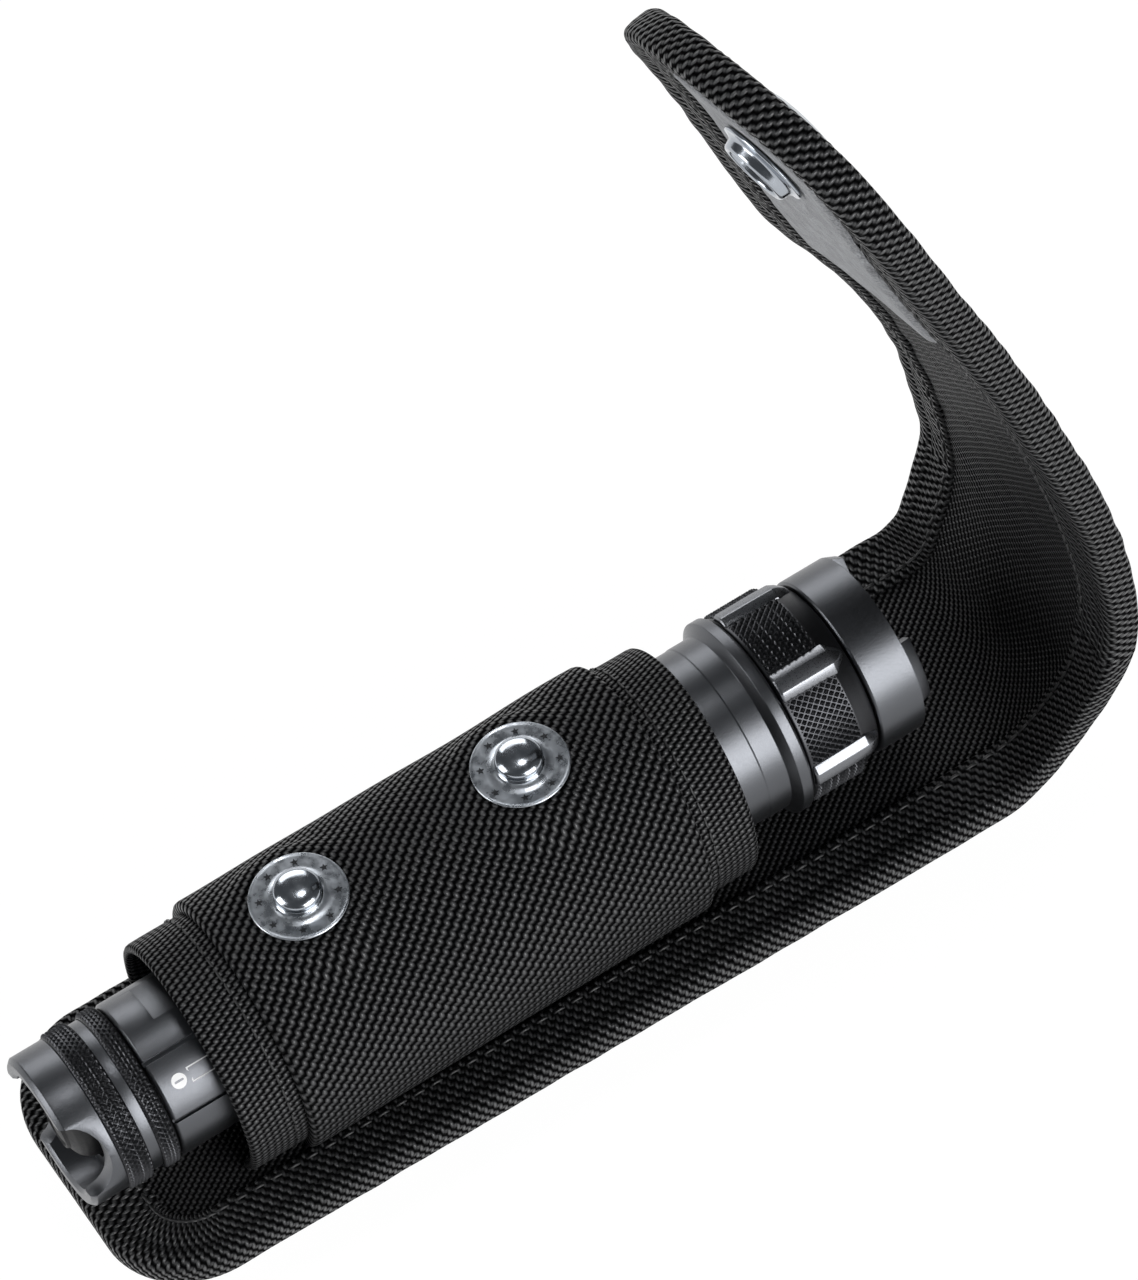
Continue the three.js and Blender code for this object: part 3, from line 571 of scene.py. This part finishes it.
def head_shell():
    # The head's core and its knurled pads take the darkened anodised colour, which is painted shade among
    # the knurl points.
    shell = lathe("head_shell_core", [
        (121.0, 12.5), (121.0, 15.1), (121.2, 15.25), (130.0, 15.25), (130.5, 15.0), (133.3, 13.75),
        (133.3, 12.5), (121.0, 12.5),
    ], SHADED_KNURL, "flashlight", sides=180, ease=0.1, closed=True)
    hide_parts("head_shell")
    half_rib = 8.3
    for number, angle in enumerate(RIB_ANGLES):
        rib(f"head_rib_{number + 1}", angle)
        pad = knurl(f"head_pad_{number + 1}", 121.3, 130.1, PAD_RADIUS + 0.15, 0.65, SHADED_KNURL, "flashlight",
                    angle + half_rib, angle + 60 - half_rib, pitch=1.25)


def bezel():
    ring = lathe("bezel_crown", [
        (133.6, 12.5), (133.6, 14.1), (133.9, 14.4), (141.1, 14.4), (142.8, 13.7), (142.8, 11.1),
        (139, 10.7), (139, 12.5), (133.6, 12.5),
    ], ANODISED, "flashlight", sides=180, ease=0.12, closed=True)
    half_gap = math.radians(60 - 21)
    cutters = []
    for gap in range(3):
        wedge = [(x, r * math.sin(t), r * math.cos(t)) for x in (141.1, 145)
                 for r, t in ((0.3, 0), (24, -half_gap), (26, 0), (24, half_gap))]
        faces = [(0, 1, 2, 3), (7, 6, 5, 4), (0, 4, 5, 1), (1, 5, 6, 2), (2, 6, 7, 3), (3, 7, 4, 0)]
        cutters.append(make("gap", to_row(radial(wedge, 62 + 60 + 120 * gap)), faces, ANODISED, None))
    cut(ring, cutters)
    soften_edges(ring, 0.16)
    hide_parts("bezel_ring")


def optics():
    steps = 24
    inner = []
    for step in range(steps + 1):
        part = (step / steps) ** 1.5
        inner.append((115.6 + 20.2 * part, math.sqrt(9 + part * (11.3 ** 2 - 9))))
    outer = [(station, radius + 0.7) for station, radius in inner]
    cup = lathe("reflector_cup", outer + inner[::-1], MIRROR, "flashlight", sides=128, closed=True)
    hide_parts("reflector")
    lens = lathe("lens_disc", [(136.2, 0), (136.2, 12.1), (137.7, 12.1), (137.7, 0)], GLASS,
                 "flashlight", sides=128, ease=0.2)
    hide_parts("front_lens")
    dome = [(115.3 + 1.8 * math.sin(a), 1.8 * math.cos(a)) for a in np.linspace(0, math.pi / 2, 12)]
    led = lathe("led_dome_fine", [(115.3, 0)] + dome, PHOSPHOR, "flashlight", sides=48)
    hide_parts("led_dome")
    seal = lathe("lens_seal_ring", [(138.3 + 0.45 * math.cos(a), 11.6 + 0.45 * math.sin(a))
                                    for a in np.linspace(0, 2 * math.pi, 12, endpoint=False)],
                 RUBBER, "flashlight", sides=128, closed=True)
    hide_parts("lens_seal")


def carried_nodes():
    """The hidden inner pieces keep their CAD shape and get a finish."""
    looks = {
        "tail_seal": RUBBER, "head_seal": RUBBER, "boot_flange": RUBBER, "switch_ring": MACHINED,
        "heat_sink": MACHINED, "switch_plunger": PLASTIC, "switch_body": PLASTIC,
        "switch_board": BOARD, "driver_board": BOARD, "led_board": WHITE_BOARD,
        "tail_spring": SPRING, "driver_spring": SPRING, "cell_rear": SLEEVE, "cell_front": SLEEVE,
        "stud_washer_lower": NICKEL, "stud_washer_upper": NICKEL,
    }
    for node, material in looks.items():
        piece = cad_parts[node]
        piece.data.materials.clear()
        piece.data.materials.append(material)


# ---------- pouch: the cloth surface ----------

CREASE_X = 163.3
BACK_MID = -18.3
BACK_START = 0.3
NECK_HEADING = 71.2
BENDS = [(18, 0), (7, 21.5), (20.5, 7.5), (42.7, 11.5), (50, -4.5), (30, 8.7)]
NECK_LENGTH = sum(length for length, turn in BENDS[:3])
SEAM_AT = 21.5  # where the neck is split between its two pieces
TIP_AT = 169.0
BOTTOM_AT = BACK_START - CREASE_X
HALF_WIDTH = 26.0
TWIST = 7.0
CUP = 1.0
NEAR_SIDE_PULL = 0.1  # the lower edge of the back is drawn in by its seam
SHAPE_EASE = 50.0
SOCKET_AT = NECK_LENGTH + 99.7
LINE_STEP = 0.1
line_s = np.arange(BOTTOM_AT - 40, TIP_AT + 40, LINE_STEP)


def centre_line():
    """Running integrals of the cloth's middle line, which let it be averaged over any window."""
    heading = np.where(line_s < 0, 0.0, NECK_HEADING)
    start = 0.0
    for length, turn in BENDS:
        heading = heading + turn * np.clip((line_s - start) / length, 0, 1)
        start += length
    heading = np.radians(heading)
    middle = (heading[1:] + heading[:-1]) / 2
    x = np.concatenate([[0], np.cumsum(np.cos(middle))]) * LINE_STEP
    z = np.concatenate([[0], np.cumsum(np.sin(middle))]) * LINE_STEP
    zero = int(np.argmin(np.abs(line_s)))
    x += CREASE_X - x[zero]
    z += BACK_MID - z[zero]
    running = [np.concatenate([[0], np.cumsum((v[1:] + v[:-1]) / 2)]) * LINE_STEP for v in (x, z)]
    return running


running_x, running_z = centre_line()


def averaged(running, s, half):
    high = np.interp(s + half, line_s, running)
    low = np.interp(s - half, line_s, running)
    return (high - low) / (2 * half)


def cloth(s, y, n):
    """Points of the cloth: s along it from the crease, y across, n outwards from its middle."""
    s, y, n = np.broadcast_arrays(np.asarray(s, float), np.asarray(y, float), np.asarray(n, float))
    edge = np.minimum(1, np.abs(y) / HALF_WIDTH)
    y = np.where(y < 0, y * (1 - NEAR_SIDE_PULL * np.clip((-25 - s) / 120, 0, 1)), y)
    crease_radius = 6 + np.where(y < 0, 24, 0) * edge ** 1.5
    near = np.clip(1 - np.abs(s - 5) / 45, 0, 1)
    near = near * near * (3 - 2 * near)
    half = 4 + (crease_radius - 4) * near
    x, z = averaged(running_x, s, half), averaged(running_z, s, half)
    heading = np.arctan2(averaged(running_z, s + 0.5, half) - z, averaged(running_x, s + 0.5, half) - x)
    ease = np.clip((s - NECK_LENGTH) / SHAPE_EASE, 0, 1)
    twist = np.radians(TWIST) * ease
    out = n - CUP * ease * edge ** 2 - y * np.sin(twist)
    out = out + folds(s, y)
    return np.stack([x + out * np.sin(heading), y * np.cos(twist), z - out * np.cos(heading)], -1)


def folds(s, y):
    """Slow waves of the padded cloth, and the pucker where the neck is bent."""
    edge = y / HALF_WIDTH
    slow = 0.25 * np.sin(s / 17 + 1.3 * edge) * np.cos(s / 29 - 0.9 * edge)
    bend = np.exp(-((s - 24) / 6) ** 2) * (0.9 * edge ** 2 - 0.5)
    flap = np.clip((s - 20) / 30, 0, 1)
    crest = 0.5 * flap * np.sin((s + 30 * edge) / 11) * np.abs(edge) ** 1.5
    return slow * np.clip((s + 40) / 60, 0.15, 1) + bend + crest


def smooth_noise(a, b, seed):
    """A few seeded waves that stand in for random unevenness, between about -1 and 1."""
    rng = np.random.RandomState(seed)
    total = np.zeros(np.broadcast(a, b).shape)
    for _ in range(6):
        fa, fb = rng.uniform(0.15, 0.9, 2)
        phase = rng.uniform(0, 2 * math.pi)
        total = total + np.sin(fa * a + fb * b * rng.choice([-1, 1]) + phase)
    return total / 3


def half_width_at(s):
    """Half the width of the panel inside its binding, with round ends."""
    s = np.asarray(s, float)
    full = HALF_WIDTH - 1.5
    result = np.full(s.shape, full)
    for end, radius in ((BOTTOM_AT + 1.5, 13.5), (TIP_AT - 1.5, 23.5)):
        distance = np.abs(s - end)
        inside = np.clip(radius - distance, 0, radius)
        result = np.minimum(result, full - radius + np.sqrt(np.maximum(radius ** 2 - inside ** 2, 0)))
    return result


def cloth_panel(name, start, end, thickness=2.0):
    """A padded panel: coarse cloth outside and lining inside."""
    count = int((end - start) / 1.4)
    s = np.linspace(start, end, count)
    across = np.sin(np.linspace(-1, 1, 45) * math.pi / 2)
    grid_s, grid_q = np.meshgrid(s, across, indexing="ij")
    y = grid_q * half_width_at(grid_s)
    puff = 0.35 * (1 - grid_q ** 4)
    outer = cloth(grid_s, y, thickness + puff * 0.6).reshape(-1, 3)
    loose = np.clip((grid_s + 5) / 20, 0, 1)
    depth = thickness - 0.15 + loose * (puff + 0.12 * smooth_noise(grid_s, y, 3))
    inner = cloth(grid_s, y, -depth).reshape(-1, 3)
    points = np.concatenate([outer, inner])
    front, back, edge = closed_sheet(count, len(across))
    faces = front + back + edge
    marks = [0] * len(front) + [1] * len(back) + [0] * len(edge)
    uv = np.stack([grid_s.ravel(), y.ravel()], 1) * MM
    return make(name, to_row(points), faces, [NYLON, LINING], None, np.concatenate([uv, uv]), 50, marks)


def rim_path(end, radius, start, step=1.2):
    """The U-shaped edge from one side of the seam round the end to the other side."""
    side = 1 if end > start else -1
    turn = end - side * radius
    straight = np.arange(0, abs(turn - start), step)
    path = [(start + side * d, HALF_WIDTH, 0.0, -1.0) for d in straight]
    corner = np.linspace(0, math.pi / 2, int(radius * 1.57 / step))
    path += [(turn + side * radius * math.sin(a), HALF_WIDTH - radius + radius * math.cos(a),
              -side * math.sin(a), -math.cos(a)) for a in corner]
    flat = np.arange(step, 2 * (HALF_WIDTH - radius) - step / 2, step)
    path += [(end, HALF_WIDTH - radius - d, -side, 0.0) for d in flat]
    path += [(turn + side * radius * math.cos(a), -(HALF_WIDTH - radius) - radius * math.sin(a),
              -side * math.cos(a), math.sin(a)) for a in corner]
    path += [(start + side * d, -HALF_WIDTH, 0.0, 1.0) for d in straight[::-1]]
    return np.array(path)


TAPE_WIDTH = 9.5
TAPE_FACE = 2.78  # height of the tape's flat part above the cloth's middle
STITCH_PITCH = 3.0
TAPE_SECTION = [
    (TAPE_WIDTH, 1.9), (TAPE_WIDTH, 2.5), (TAPE_WIDTH - 0.5, 2.85), (TAPE_WIDTH - 1.6, 2.75),
    (TAPE_WIDTH - 3.5, 2.9), (4.4, 2.75), (3.6, 2.55), (3.0, 2.9), (2.0, 2.95), (1.0, 2.85),
    (0.35, 2.4), (0.0, 1.9), (-0.1, 0.7), (0.0, -0.7), (0.15, -1.9), (0.5, -2.4), (1.2, -2.8),
    (2.4, -2.9), (3.4, -2.75), (5.0, -2.8), (TAPE_WIDTH - 1.6, -2.75), (TAPE_WIDTH - 0.5, -2.8),
    (TAPE_WIDTH, -2.5), (TAPE_WIDTH, -1.9),
]


def binding(name, path):
    """Ribbed tape folded over the edge of a panel along a path."""
    section = np.array(rounded(TAPE_SECTION, 0.4))
    s, y, in_s, in_y = (path[:, None, k] for k in range(4))
    d, h = section[None, :, 0], section[None, :, 1]
    walk = np.concatenate([[0], np.cumsum(np.hypot(*np.diff(path[:, :2], axis=0).T))])
    uneven = 0.16 * smooth_noise(walk[:, None] * 1.0, d * 0.8, 11)
    pinch = 1 - 0.05 * triangle_wave(walk[:, None] / STITCH_PITCH) * (d > 3)
    points = cloth(s + in_s * d, y + in_y * d, -(h * pinch) - uneven * np.sign(h) * 0.6)
    length = np.concatenate([[0], np.cumsum(np.hypot(*np.diff(section, axis=0).T))])
    uv = np.stack(np.broadcast_arrays(walk[:, None], length[None, :]), -1).reshape(-1, 2) * MM
    faces = grid_faces(len(path), len(section))
    last = (len(path) - 1) * len(section)
    faces.append(tuple(range(len(section))))
    faces.append(tuple(range(last, last + len(section)))[::-1])
    columns = len(section)
    for row in range(len(path) - 1):
        a, b = row * columns, (row + 1) * columns
        faces.append((a, b, b + columns - 1, a + columns - 1))
    return make(name, to_row(points.reshape(-1, 3)), faces, TAPE, None, uv, 60)


def stitch_row(name, places, length=2.1, radius=0.26):
    """Thread stitches: one bead for each (middle, direction, normal) in millimetres."""
    points, faces = [], []
    ring = np.linspace(0, 2 * math.pi, 6, endpoint=False)
    for middle, direction, normal in places:
        middle, direction, normal = (np.asarray(v, float) for v in (middle, direction, normal))
        direction = direction / np.linalg.norm(direction)
        side = np.cross(direction, normal)
        side = side / np.linalg.norm(side)
        up = np.cross(side, direction)
        base = len(points)
        for part, size, sink in ((-0.5, 0.45, -0.8), (-0.36, 0.95, -0.15), (0.0, 1.0, 0.15),
                                 (0.36, 0.95, -0.15), (0.5, 0.45, -0.8)):
            centre = middle + direction * part * length + up * sink * radius
            for a in ring:
                points.append(centre + (side * math.cos(a) + up * math.sin(a)) * radius * size)
        faces += grid_faces(5, 6, close_columns=True, offset=base)
        faces += [tuple(range(base, base + 6))[::-1], tuple(range(base + 24, base + 30))]
    return make(name, to_row(points), faces, THREAD, None, sharp=80)


def tape_stitches(name, path):
    """Stitches along the inner and outer faces of a binding."""
    walk = np.concatenate([[0], np.cumsum(np.hypot(*np.diff(path[:, :2], axis=0).T))])
    at = TAPE_WIDTH - 1.5
    places = []
    for distance in np.arange(STITCH_PITCH, walk[-1] - STITCH_PITCH, STITCH_PITCH):
        s, y, in_s, in_y = (np.interp(distance, walk, path[:, k]) for k in range(4))
        size = math.hypot(in_s, in_y)
        in_s, in_y = in_s / size, in_y / size
        for height in (-TAPE_FACE, TAPE_FACE):
            here = cloth(s + in_s * at, y + in_y * at, height)
            ahead = cloth(s + in_s * at + in_y * 0.5, y + in_y * at - in_s * 0.5, height)
            above = cloth(s + in_s * at, y + in_y * at, height * 1.3)
            places.append((here, ahead - here, above - here))
    return stitch_row(name, places)


def across_joint(piece, at, reach=9.0):
    """Bakes the piece's placement into its mesh. The points on the middle line either side of the place are
    found but not used.
    """
    before, after = cloth(at - reach, 0, 0), cloth(at + reach, 0, 0)
    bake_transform(piece)


def back_and_flap():
    back = cloth_panel("back_panel_padded", BOTTOM_AT + 1.5, SEAM_AT)
    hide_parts("back_panel", "flap_neck")
    flap = cloth_panel("flap_padded", SEAM_AT, TIP_AT - 1.5)
    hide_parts("flap_panel")
    back_path = rim_path(BOTTOM_AT, 15.0, SEAM_AT)
    flap_path = rim_path(TIP_AT, 25.0, SEAM_AT)
    back_tape = binding("back_binding_tape", back_path)
    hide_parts("back_binding", "neck_binding_left", "neck_binding_right")
    flap_tape = binding("flap_binding_tape", flap_path)
    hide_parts("flap_binding")
    back_thread = tape_stitches("back_binding_thread", back_path)
    flap_thread = tape_stitches("flap_binding_thread", flap_path)
    for piece, name in ((back, "nylon"), (back_tape, "grosgrain"), (back_thread, "grosgrain")):
        across_joint(piece, 0.0)
    for piece, name in ((flap, "nylon"), (flap_tape, "grosgrain"), (flap_thread, "grosgrain")):
        across_joint(piece, NECK_LENGTH)


# ---------- pouch: front panel and bands ----------

ARCH_CENTRE_Z = -2.0
ARCH_HALF_WIDTH = 19.5
ARCH_HALF_HEIGHT = 22.0
FOOT_Z = -16.6
STUD_STATIONS = (45.4, 82.6)
STUD_SEAT = 20.3


def arch_point(x, angle, inset):
    """The oval arch over the flashlight, pulled flat under the two studs."""
    radius_y = ARCH_HALF_WIDTH - inset
    radius_z = ARCH_HALF_HEIGHT - inset
    y = radius_y * np.sin(angle)
    z = ARCH_CENTRE_Z + radius_z * np.cos(angle)
    z = z + 0.35 * smooth_noise(x * 0.35, angle * 6, 5) * np.clip(1.2 - np.abs(angle) / 2, 0, 1)
    for station in STUD_STATIONS:
        away = np.hypot(x - station, y)
        pull = np.clip((13 - away) / 5.5, 0, 1)
        pull = pull * pull * (3 - 2 * pull)
        z = z + pull * np.maximum(STUD_SEAT - 0.1 - inset - z, 0) * (np.abs(angle) < 1.2)
    return y, z


def arch(name, start, end, inset, thickness, material, node):
    """A cloth arch with folded, rounded ends."""
    ends = [0.0, 0.12, 0.4, 0.9, 1.6]
    fullness = [0.25, 0.62, 0.88, 1.0, 1.0]
    middle = np.linspace(start + 2.4, end - 2.4, max(3, int((end - start - 4.8) / 1.3)))
    xs = np.concatenate([start + np.array(ends), middle, end - np.array(ends)[::-1]])
    full = np.concatenate([fullness, np.ones(len(middle)), fullness[::-1]])
    limit = math.acos((FOOT_Z - ARCH_CENTRE_Z) / (ARCH_HALF_HEIGHT - inset))
    angles = np.linspace(-limit, limit, 121)
    x, angle = np.meshgrid(xs, angles, indexing="ij")
    sides = []
    for share in (0.5, -0.5):
        depth = inset + thickness * (0.5 - share * full[:, None])
        y, z = arch_point(x, angle, depth)
        sides.append(np.stack([x, y, z], -1).reshape(-1, 3))
    front, back, edge = closed_sheet(len(xs), len(angles))
    girth = angle * 20.5
    uv = np.stack([x.ravel(), girth.ravel()], 1) * MM
    piece = make(name, to_row(np.concatenate(sides)), front + back + edge, material, "pouch",
                 np.concatenate([uv, uv]), 50)
    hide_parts(node)
    return piece


def arch_stitches(name, station, inset, pitch=2.8):
    """A row of stitches over the arch at one station."""
    limit = 2.2
    places = []
    for angle in np.arange(-limit, limit, pitch / 20.5):
        y, z = arch_point(np.array(station), np.array(angle), inset)
        y2, z2 = arch_point(np.array(station), np.array(angle + 0.02), inset)
        tangent = np.array([0.0, float(y2 - y), float(z2 - z)])
        places.append(((station, float(y), float(z)), tangent, np.cross(tangent, (1, 0, 0))))
    row = stitch_row(name, places, length=1.9, radius=0.2)
    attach(row, "pouch")


def front():
    low, high = node_span("front_panel")
    panel = arch("front_panel_padded", low, high, 0.0, 2.3, NYLON, "front_panel")
    low, high = node_span("lower_band")
    arch("lower_band_folded", low, high + 1.6, 1.7, 1.6, BAND, "lower_band")
    arch_stitches("lower_band_thread", low + 7.2, 1.68)
    low, high = node_span("upper_band")
    arch("upper_band_folded", low - 1.6, high, 1.7, 1.6, BAND, "upper_band")
    arch_stitches("upper_band_thread", low + 1.4, 1.68)


# ---------- pouch: snap studs ----------


def star(points_count, outer, inner):
    return [(radius * math.cos(a), radius * math.sin(a))
            for i in range(points_count * 2)
            for radius, a in [((outer, inner)[i % 2], i * math.pi / points_count)]]


def stud(which, station):
    seat = STUD_SEAT

    def place(points):
        """Stands a piece turned about X upright at the stud."""
        x, y, z = np.asarray(points, float).T
        return to_row(np.stack([station - z, y, x], 1))

    flange = lathe(f"stud_flange_fine_{which}", [
        (seat, 3.2), (seat, 7.0), (seat + 0.35, 7.35), (seat + 0.62, 7.2), (seat + 0.5, 6.8),
        (seat + 0.42, 5.0), (seat + 0.62, 4.2), (seat + 0.9, 3.7), (seat + 0.9, 3.2), (seat, 3.2),
    ], FLANGE, "pouch", sides=96, ease=0.25, closed=True, place=place, sharp=60)
    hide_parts("stud_flange_" + which)
    post = lathe(f"stud_post_fine_{which}", [
        (seat, 3.9), (seat + 0.7, 3.85), (seat + 1.1, 3.3), (seat + 1.4, 3.25), (seat + 1.8, 3.5),
        (seat + 2.2, 3.6), (seat + 2.7, 3.4), (seat + 3.15, 2.85), (seat + 3.45, 2.1), (seat + 3.64, 1.2),
        (seat + 3.7, 0),
    ], NICKEL, "pouch", sides=96, ease=0.35, place=place, sharp=80)
    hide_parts("stud_post_" + which)
    # Eight stamped stars on the flange, as a thin dark sheet: painted shade in the stamped recesses.
    points, faces = [], []
    for step in range(8):
        turn = step * math.pi / 4 + 0.35
        centre = (5.75 * math.cos(turn), 5.75 * math.sin(turn))
        base = len(points)
        for height in (seat + 0.3, seat + 0.53):
            points += [(station + centre[0] + a, centre[1] + b, height) for a, b in star(5, 0.62, 0.27)]
        faces.append(tuple(range(base + 10, base + 20)))
        faces += [(base + i, base + (i + 1) % 10, base + 10 + (i + 1) % 10, base + 10 + i)
                  for i in range(10)]
    stars = make(f"stud_stars_{which}", to_row(points), faces, STAR_SHADE, "pouch", sharp=20)


# ---------- pouch: flap fittings ----------


def socket_place(points):
    """Stands a piece turned about X on the flap's inner face at the snap."""
    origin = cloth(SOCKET_AT, 0, 0)
    along = cloth(SOCKET_AT + 1, 0, 0) - cloth(SOCKET_AT - 1, 0, 0)
    along = along / np.linalg.norm(along)
    across = cloth(SOCKET_AT, 1, 0) - cloth(SOCKET_AT, -1, 0)
    inward = np.cross(across, along)
    inward = inward / np.linalg.norm(inward)
    if np.dot(inward, cloth(SOCKET_AT, 0, -1) - origin) < 0:
        inward = -inward
    across = np.cross(inward, along)
    points = np.asarray(points, float)
    return to_row(origin + points[:, :1] * inward + points[:, 1:2] * along + points[:, 2:3] * across)


def snap():
    seat = 3.3
    ring = lathe("snap_socket_fine", [
        (seat, 3.9), (seat, 6.3), (seat + 0.3, 6.9), (seat + 0.7, 6.8), (seat + 0.8, 6.1),
        (seat + 1.1, 5.5), (seat + 2.3, 5.2), (seat + 2.6, 4.8), (seat + 2.4, 4.2), (seat + 0.4, 3.9),
        (seat, 3.9),
    ], NICKEL, "flap", sides=96, ease=0.25, closed=True, place=socket_place, sharp=60)
    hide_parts("snap_socket")
    floor = lathe("snap_socket_floor", [
        (seat - 0.2, 0), (seat - 0.2, 4.2), (seat + 0.3, 4.2), (seat + 0.2, 0),
    ], SPRING, "flap", sides=64, place=socket_place)
    cap = lathe("snap_cap_fine", [
        (-4.2, 0), (-4.15, 2.5), (-3.9, 5.0), (-3.4, 6.8), (-2.9, 7.4), (-2.2, 7.4), (-2.2, 0),
    ], NICKEL, "flap", sides=96, ease=0.3, place=socket_place, sharp=60)
    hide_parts("snap_cap")


PATCH_START = NECK_LENGTH + 57
PATCH_END = NECK_LENGTH + 111
PATCH_HALF_WIDTH = 13.0


def hook_patch():
    rows, columns = 110, 38
    s, y = np.meshgrid(np.linspace(PATCH_START, PATCH_END, rows),
                       np.linspace(-PATCH_HALF_WIDTH, PATCH_HALF_WIDTH, columns), indexing="ij")
    ragged = 0.35 * smooth_noise(s * 2.2, y * 1.7, 21)
    margin = np.minimum.reduce([s - PATCH_START, PATCH_END - s, PATCH_HALF_WIDTH - np.abs(y)])
    rise = np.clip(margin / 0.8, 0, 1) ** 0.5
    face = cloth(s + ragged * (1 - rise), y + ragged * (1 - rise), -2.45 - 0.75 * rise - 0.08 * ragged)
    back = cloth(s, y, -2.3)
    points = np.concatenate([face.reshape(-1, 3), back.reshape(-1, 3)])
    front, back, edge = closed_sheet(rows, columns)
    uv = np.stack([s.ravel(), y.ravel()], 1) * MM
    patch = make("hook_patch_grey", to_row(points), front + back + edge, HOOK, "flap",
                 np.concatenate([uv, uv]), 60)
    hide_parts("hook_patch")


# ---------- pouch: belt loop ----------


def belt_loop():
    low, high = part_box("belt_loop")
    start, end = (low.x - TAIL_X) / MM, (high.x - TAIL_X) / MM
    floor = (low.z - AXIS_Z) / MM + 1.0
    top = (high.z - AXIS_Z) / MM - 1.0
    line = [(start, top), (start + 9, top), (start + 15, floor), (end - 15, floor), (end - 9, top),
            (end, top)]
    line = np.array(rounded(line, 3.0))
    walk = np.concatenate([[0], np.cumsum(np.hypot(*np.diff(line, axis=0).T))])
    at = np.linspace(0, walk[-1], 90)
    x, z = np.interp(at, walk, line[:, 0]), np.interp(at, walk, line[:, 1])
    slope = np.gradient(z, at)
    across = np.linspace(-1, 1, 25)
    half = (high.y - low.y) / 2 / MM
    rows, columns = len(at), len(across)
    sides = []
    for side in (1, -1):
        edge = 1 - np.abs(across) ** 10 * 0.7
        thick = side * 1.0 * edge[None, :]
        px = x[:, None] - slope[:, None] * thick
        pz = z[:, None] + np.sqrt(1 - slope[:, None] ** 2) * thick
        py = np.broadcast_to(across[None, :] * half, px.shape)
        sides.append(np.stack([px, py, pz], -1).reshape(-1, 3))
    front, back, edge = closed_sheet(rows, columns)
    uv = np.stack([np.repeat(at, columns), np.tile(across * half, rows)], 1) * MM
    strap = make("belt_loop_strap", to_row(np.concatenate(sides)), front + back + edge, NYLON, "pouch",
                 np.concatenate([uv, uv]), 50)
    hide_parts("belt_loop")
    places = []
    for station in (start + 2, start + 7, end - 7, end - 2):
        for y in np.arange(-half + 2, half - 1, 2.8):
            places.append(((station, y, top - 1.0), (0, 1, 0), (0, 0, -1)))
    thread = stitch_row("belt_loop_thread", places)
    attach(thread, "pouch")


# ---------- stage ----------


def floor_and_lights():
    half = 4.0
    paint = Paint("pale floor", (0.8, 0.8, 0.8), 0.9)
    paint.shader.inputs["Emission Color"].default_value = (1, 1, 1, 1)
    paint.shader.inputs["Emission Strength"].default_value = 0.97
    paint.colors(paint.noise(3, 2), (0.03, 0.03, 0.03), (0.04, 0.04, 0.04))
    ground = make("floor", [(-half, -half, 0), (half, -half, 0), (half, half, 0), (-half, half, 0)],
                  [(0, 1, 2, 3)], paint.material, None)
    world = bpy.data.worlds.new("studio")
    bpy.context.scene.world = world
    world.use_nodes = True
    background = world.node_tree.nodes["Background"]
    background.inputs["Color"].default_value = (0.9, 0.95, 1.0, 1)
    background.inputs["Strength"].default_value = 0.1
    lamp("key", (0.3, -1.1, 0.45), 0.9, 0.9, 18)
    lamp("left", (-1.1, 0.35, 0.5), 0.6, 0.9, 9)
    lamp("back", (0.3, 1.1, 0.5), 1.0, 0.6, 6)
    lamp("top", (0.2, 0.1, 1.5), 0.3, 0.3, 3)


def lamp(name, place, width, height, power):
    light = bpy.data.lights.new(name, "AREA")
    light.shape = "RECTANGLE"
    light.size = width
    light.size_y = height
    light.energy = power
    holder = bpy.data.objects.new(name, light)
    bpy.context.scene.collection.objects.link(holder)
    holder.location = place
    aim = Vector((0.02, 0, 0.05)) - Vector(place)
    holder.rotation_euler = aim.to_track_quat("-Z", "Y").to_euler()


def camera():
    data = bpy.data.cameras.new("camera")
    data.lens = 178.0
    data.sensor_width = 36.0
    data.clip_end = 20.0
    holder = bpy.data.objects.new("camera", data)
    bpy.context.scene.collection.objects.link(holder)
    right = Vector((0.83808, -0.53469, -0.10833))
    up = Vector((0.49544, 0.66280, 0.56146))
    back = right.cross(up)
    turn = Matrix((right, up, back)).transposed().to_4x4()
    holder.matrix_world = Matrix.Translation(spot(-108.75, -464.74, 769.80)) @ turn
    bpy.context.scene.camera = holder


bpy.context.scene.view_settings.view_transform = "Standard"
camera()
floor_and_lights()
tailcap()
tail_switch()
body_tube()
polarity_mark()
head_neck()
head_shell()
bezel()
optics()
carried_nodes()
back_and_flap()
front()
for stud_name, stud_station in zip(("lower", "upper"), STUD_STATIONS):
    stud(stud_name, stud_station)
snap()
hook_patch()
belt_loop()
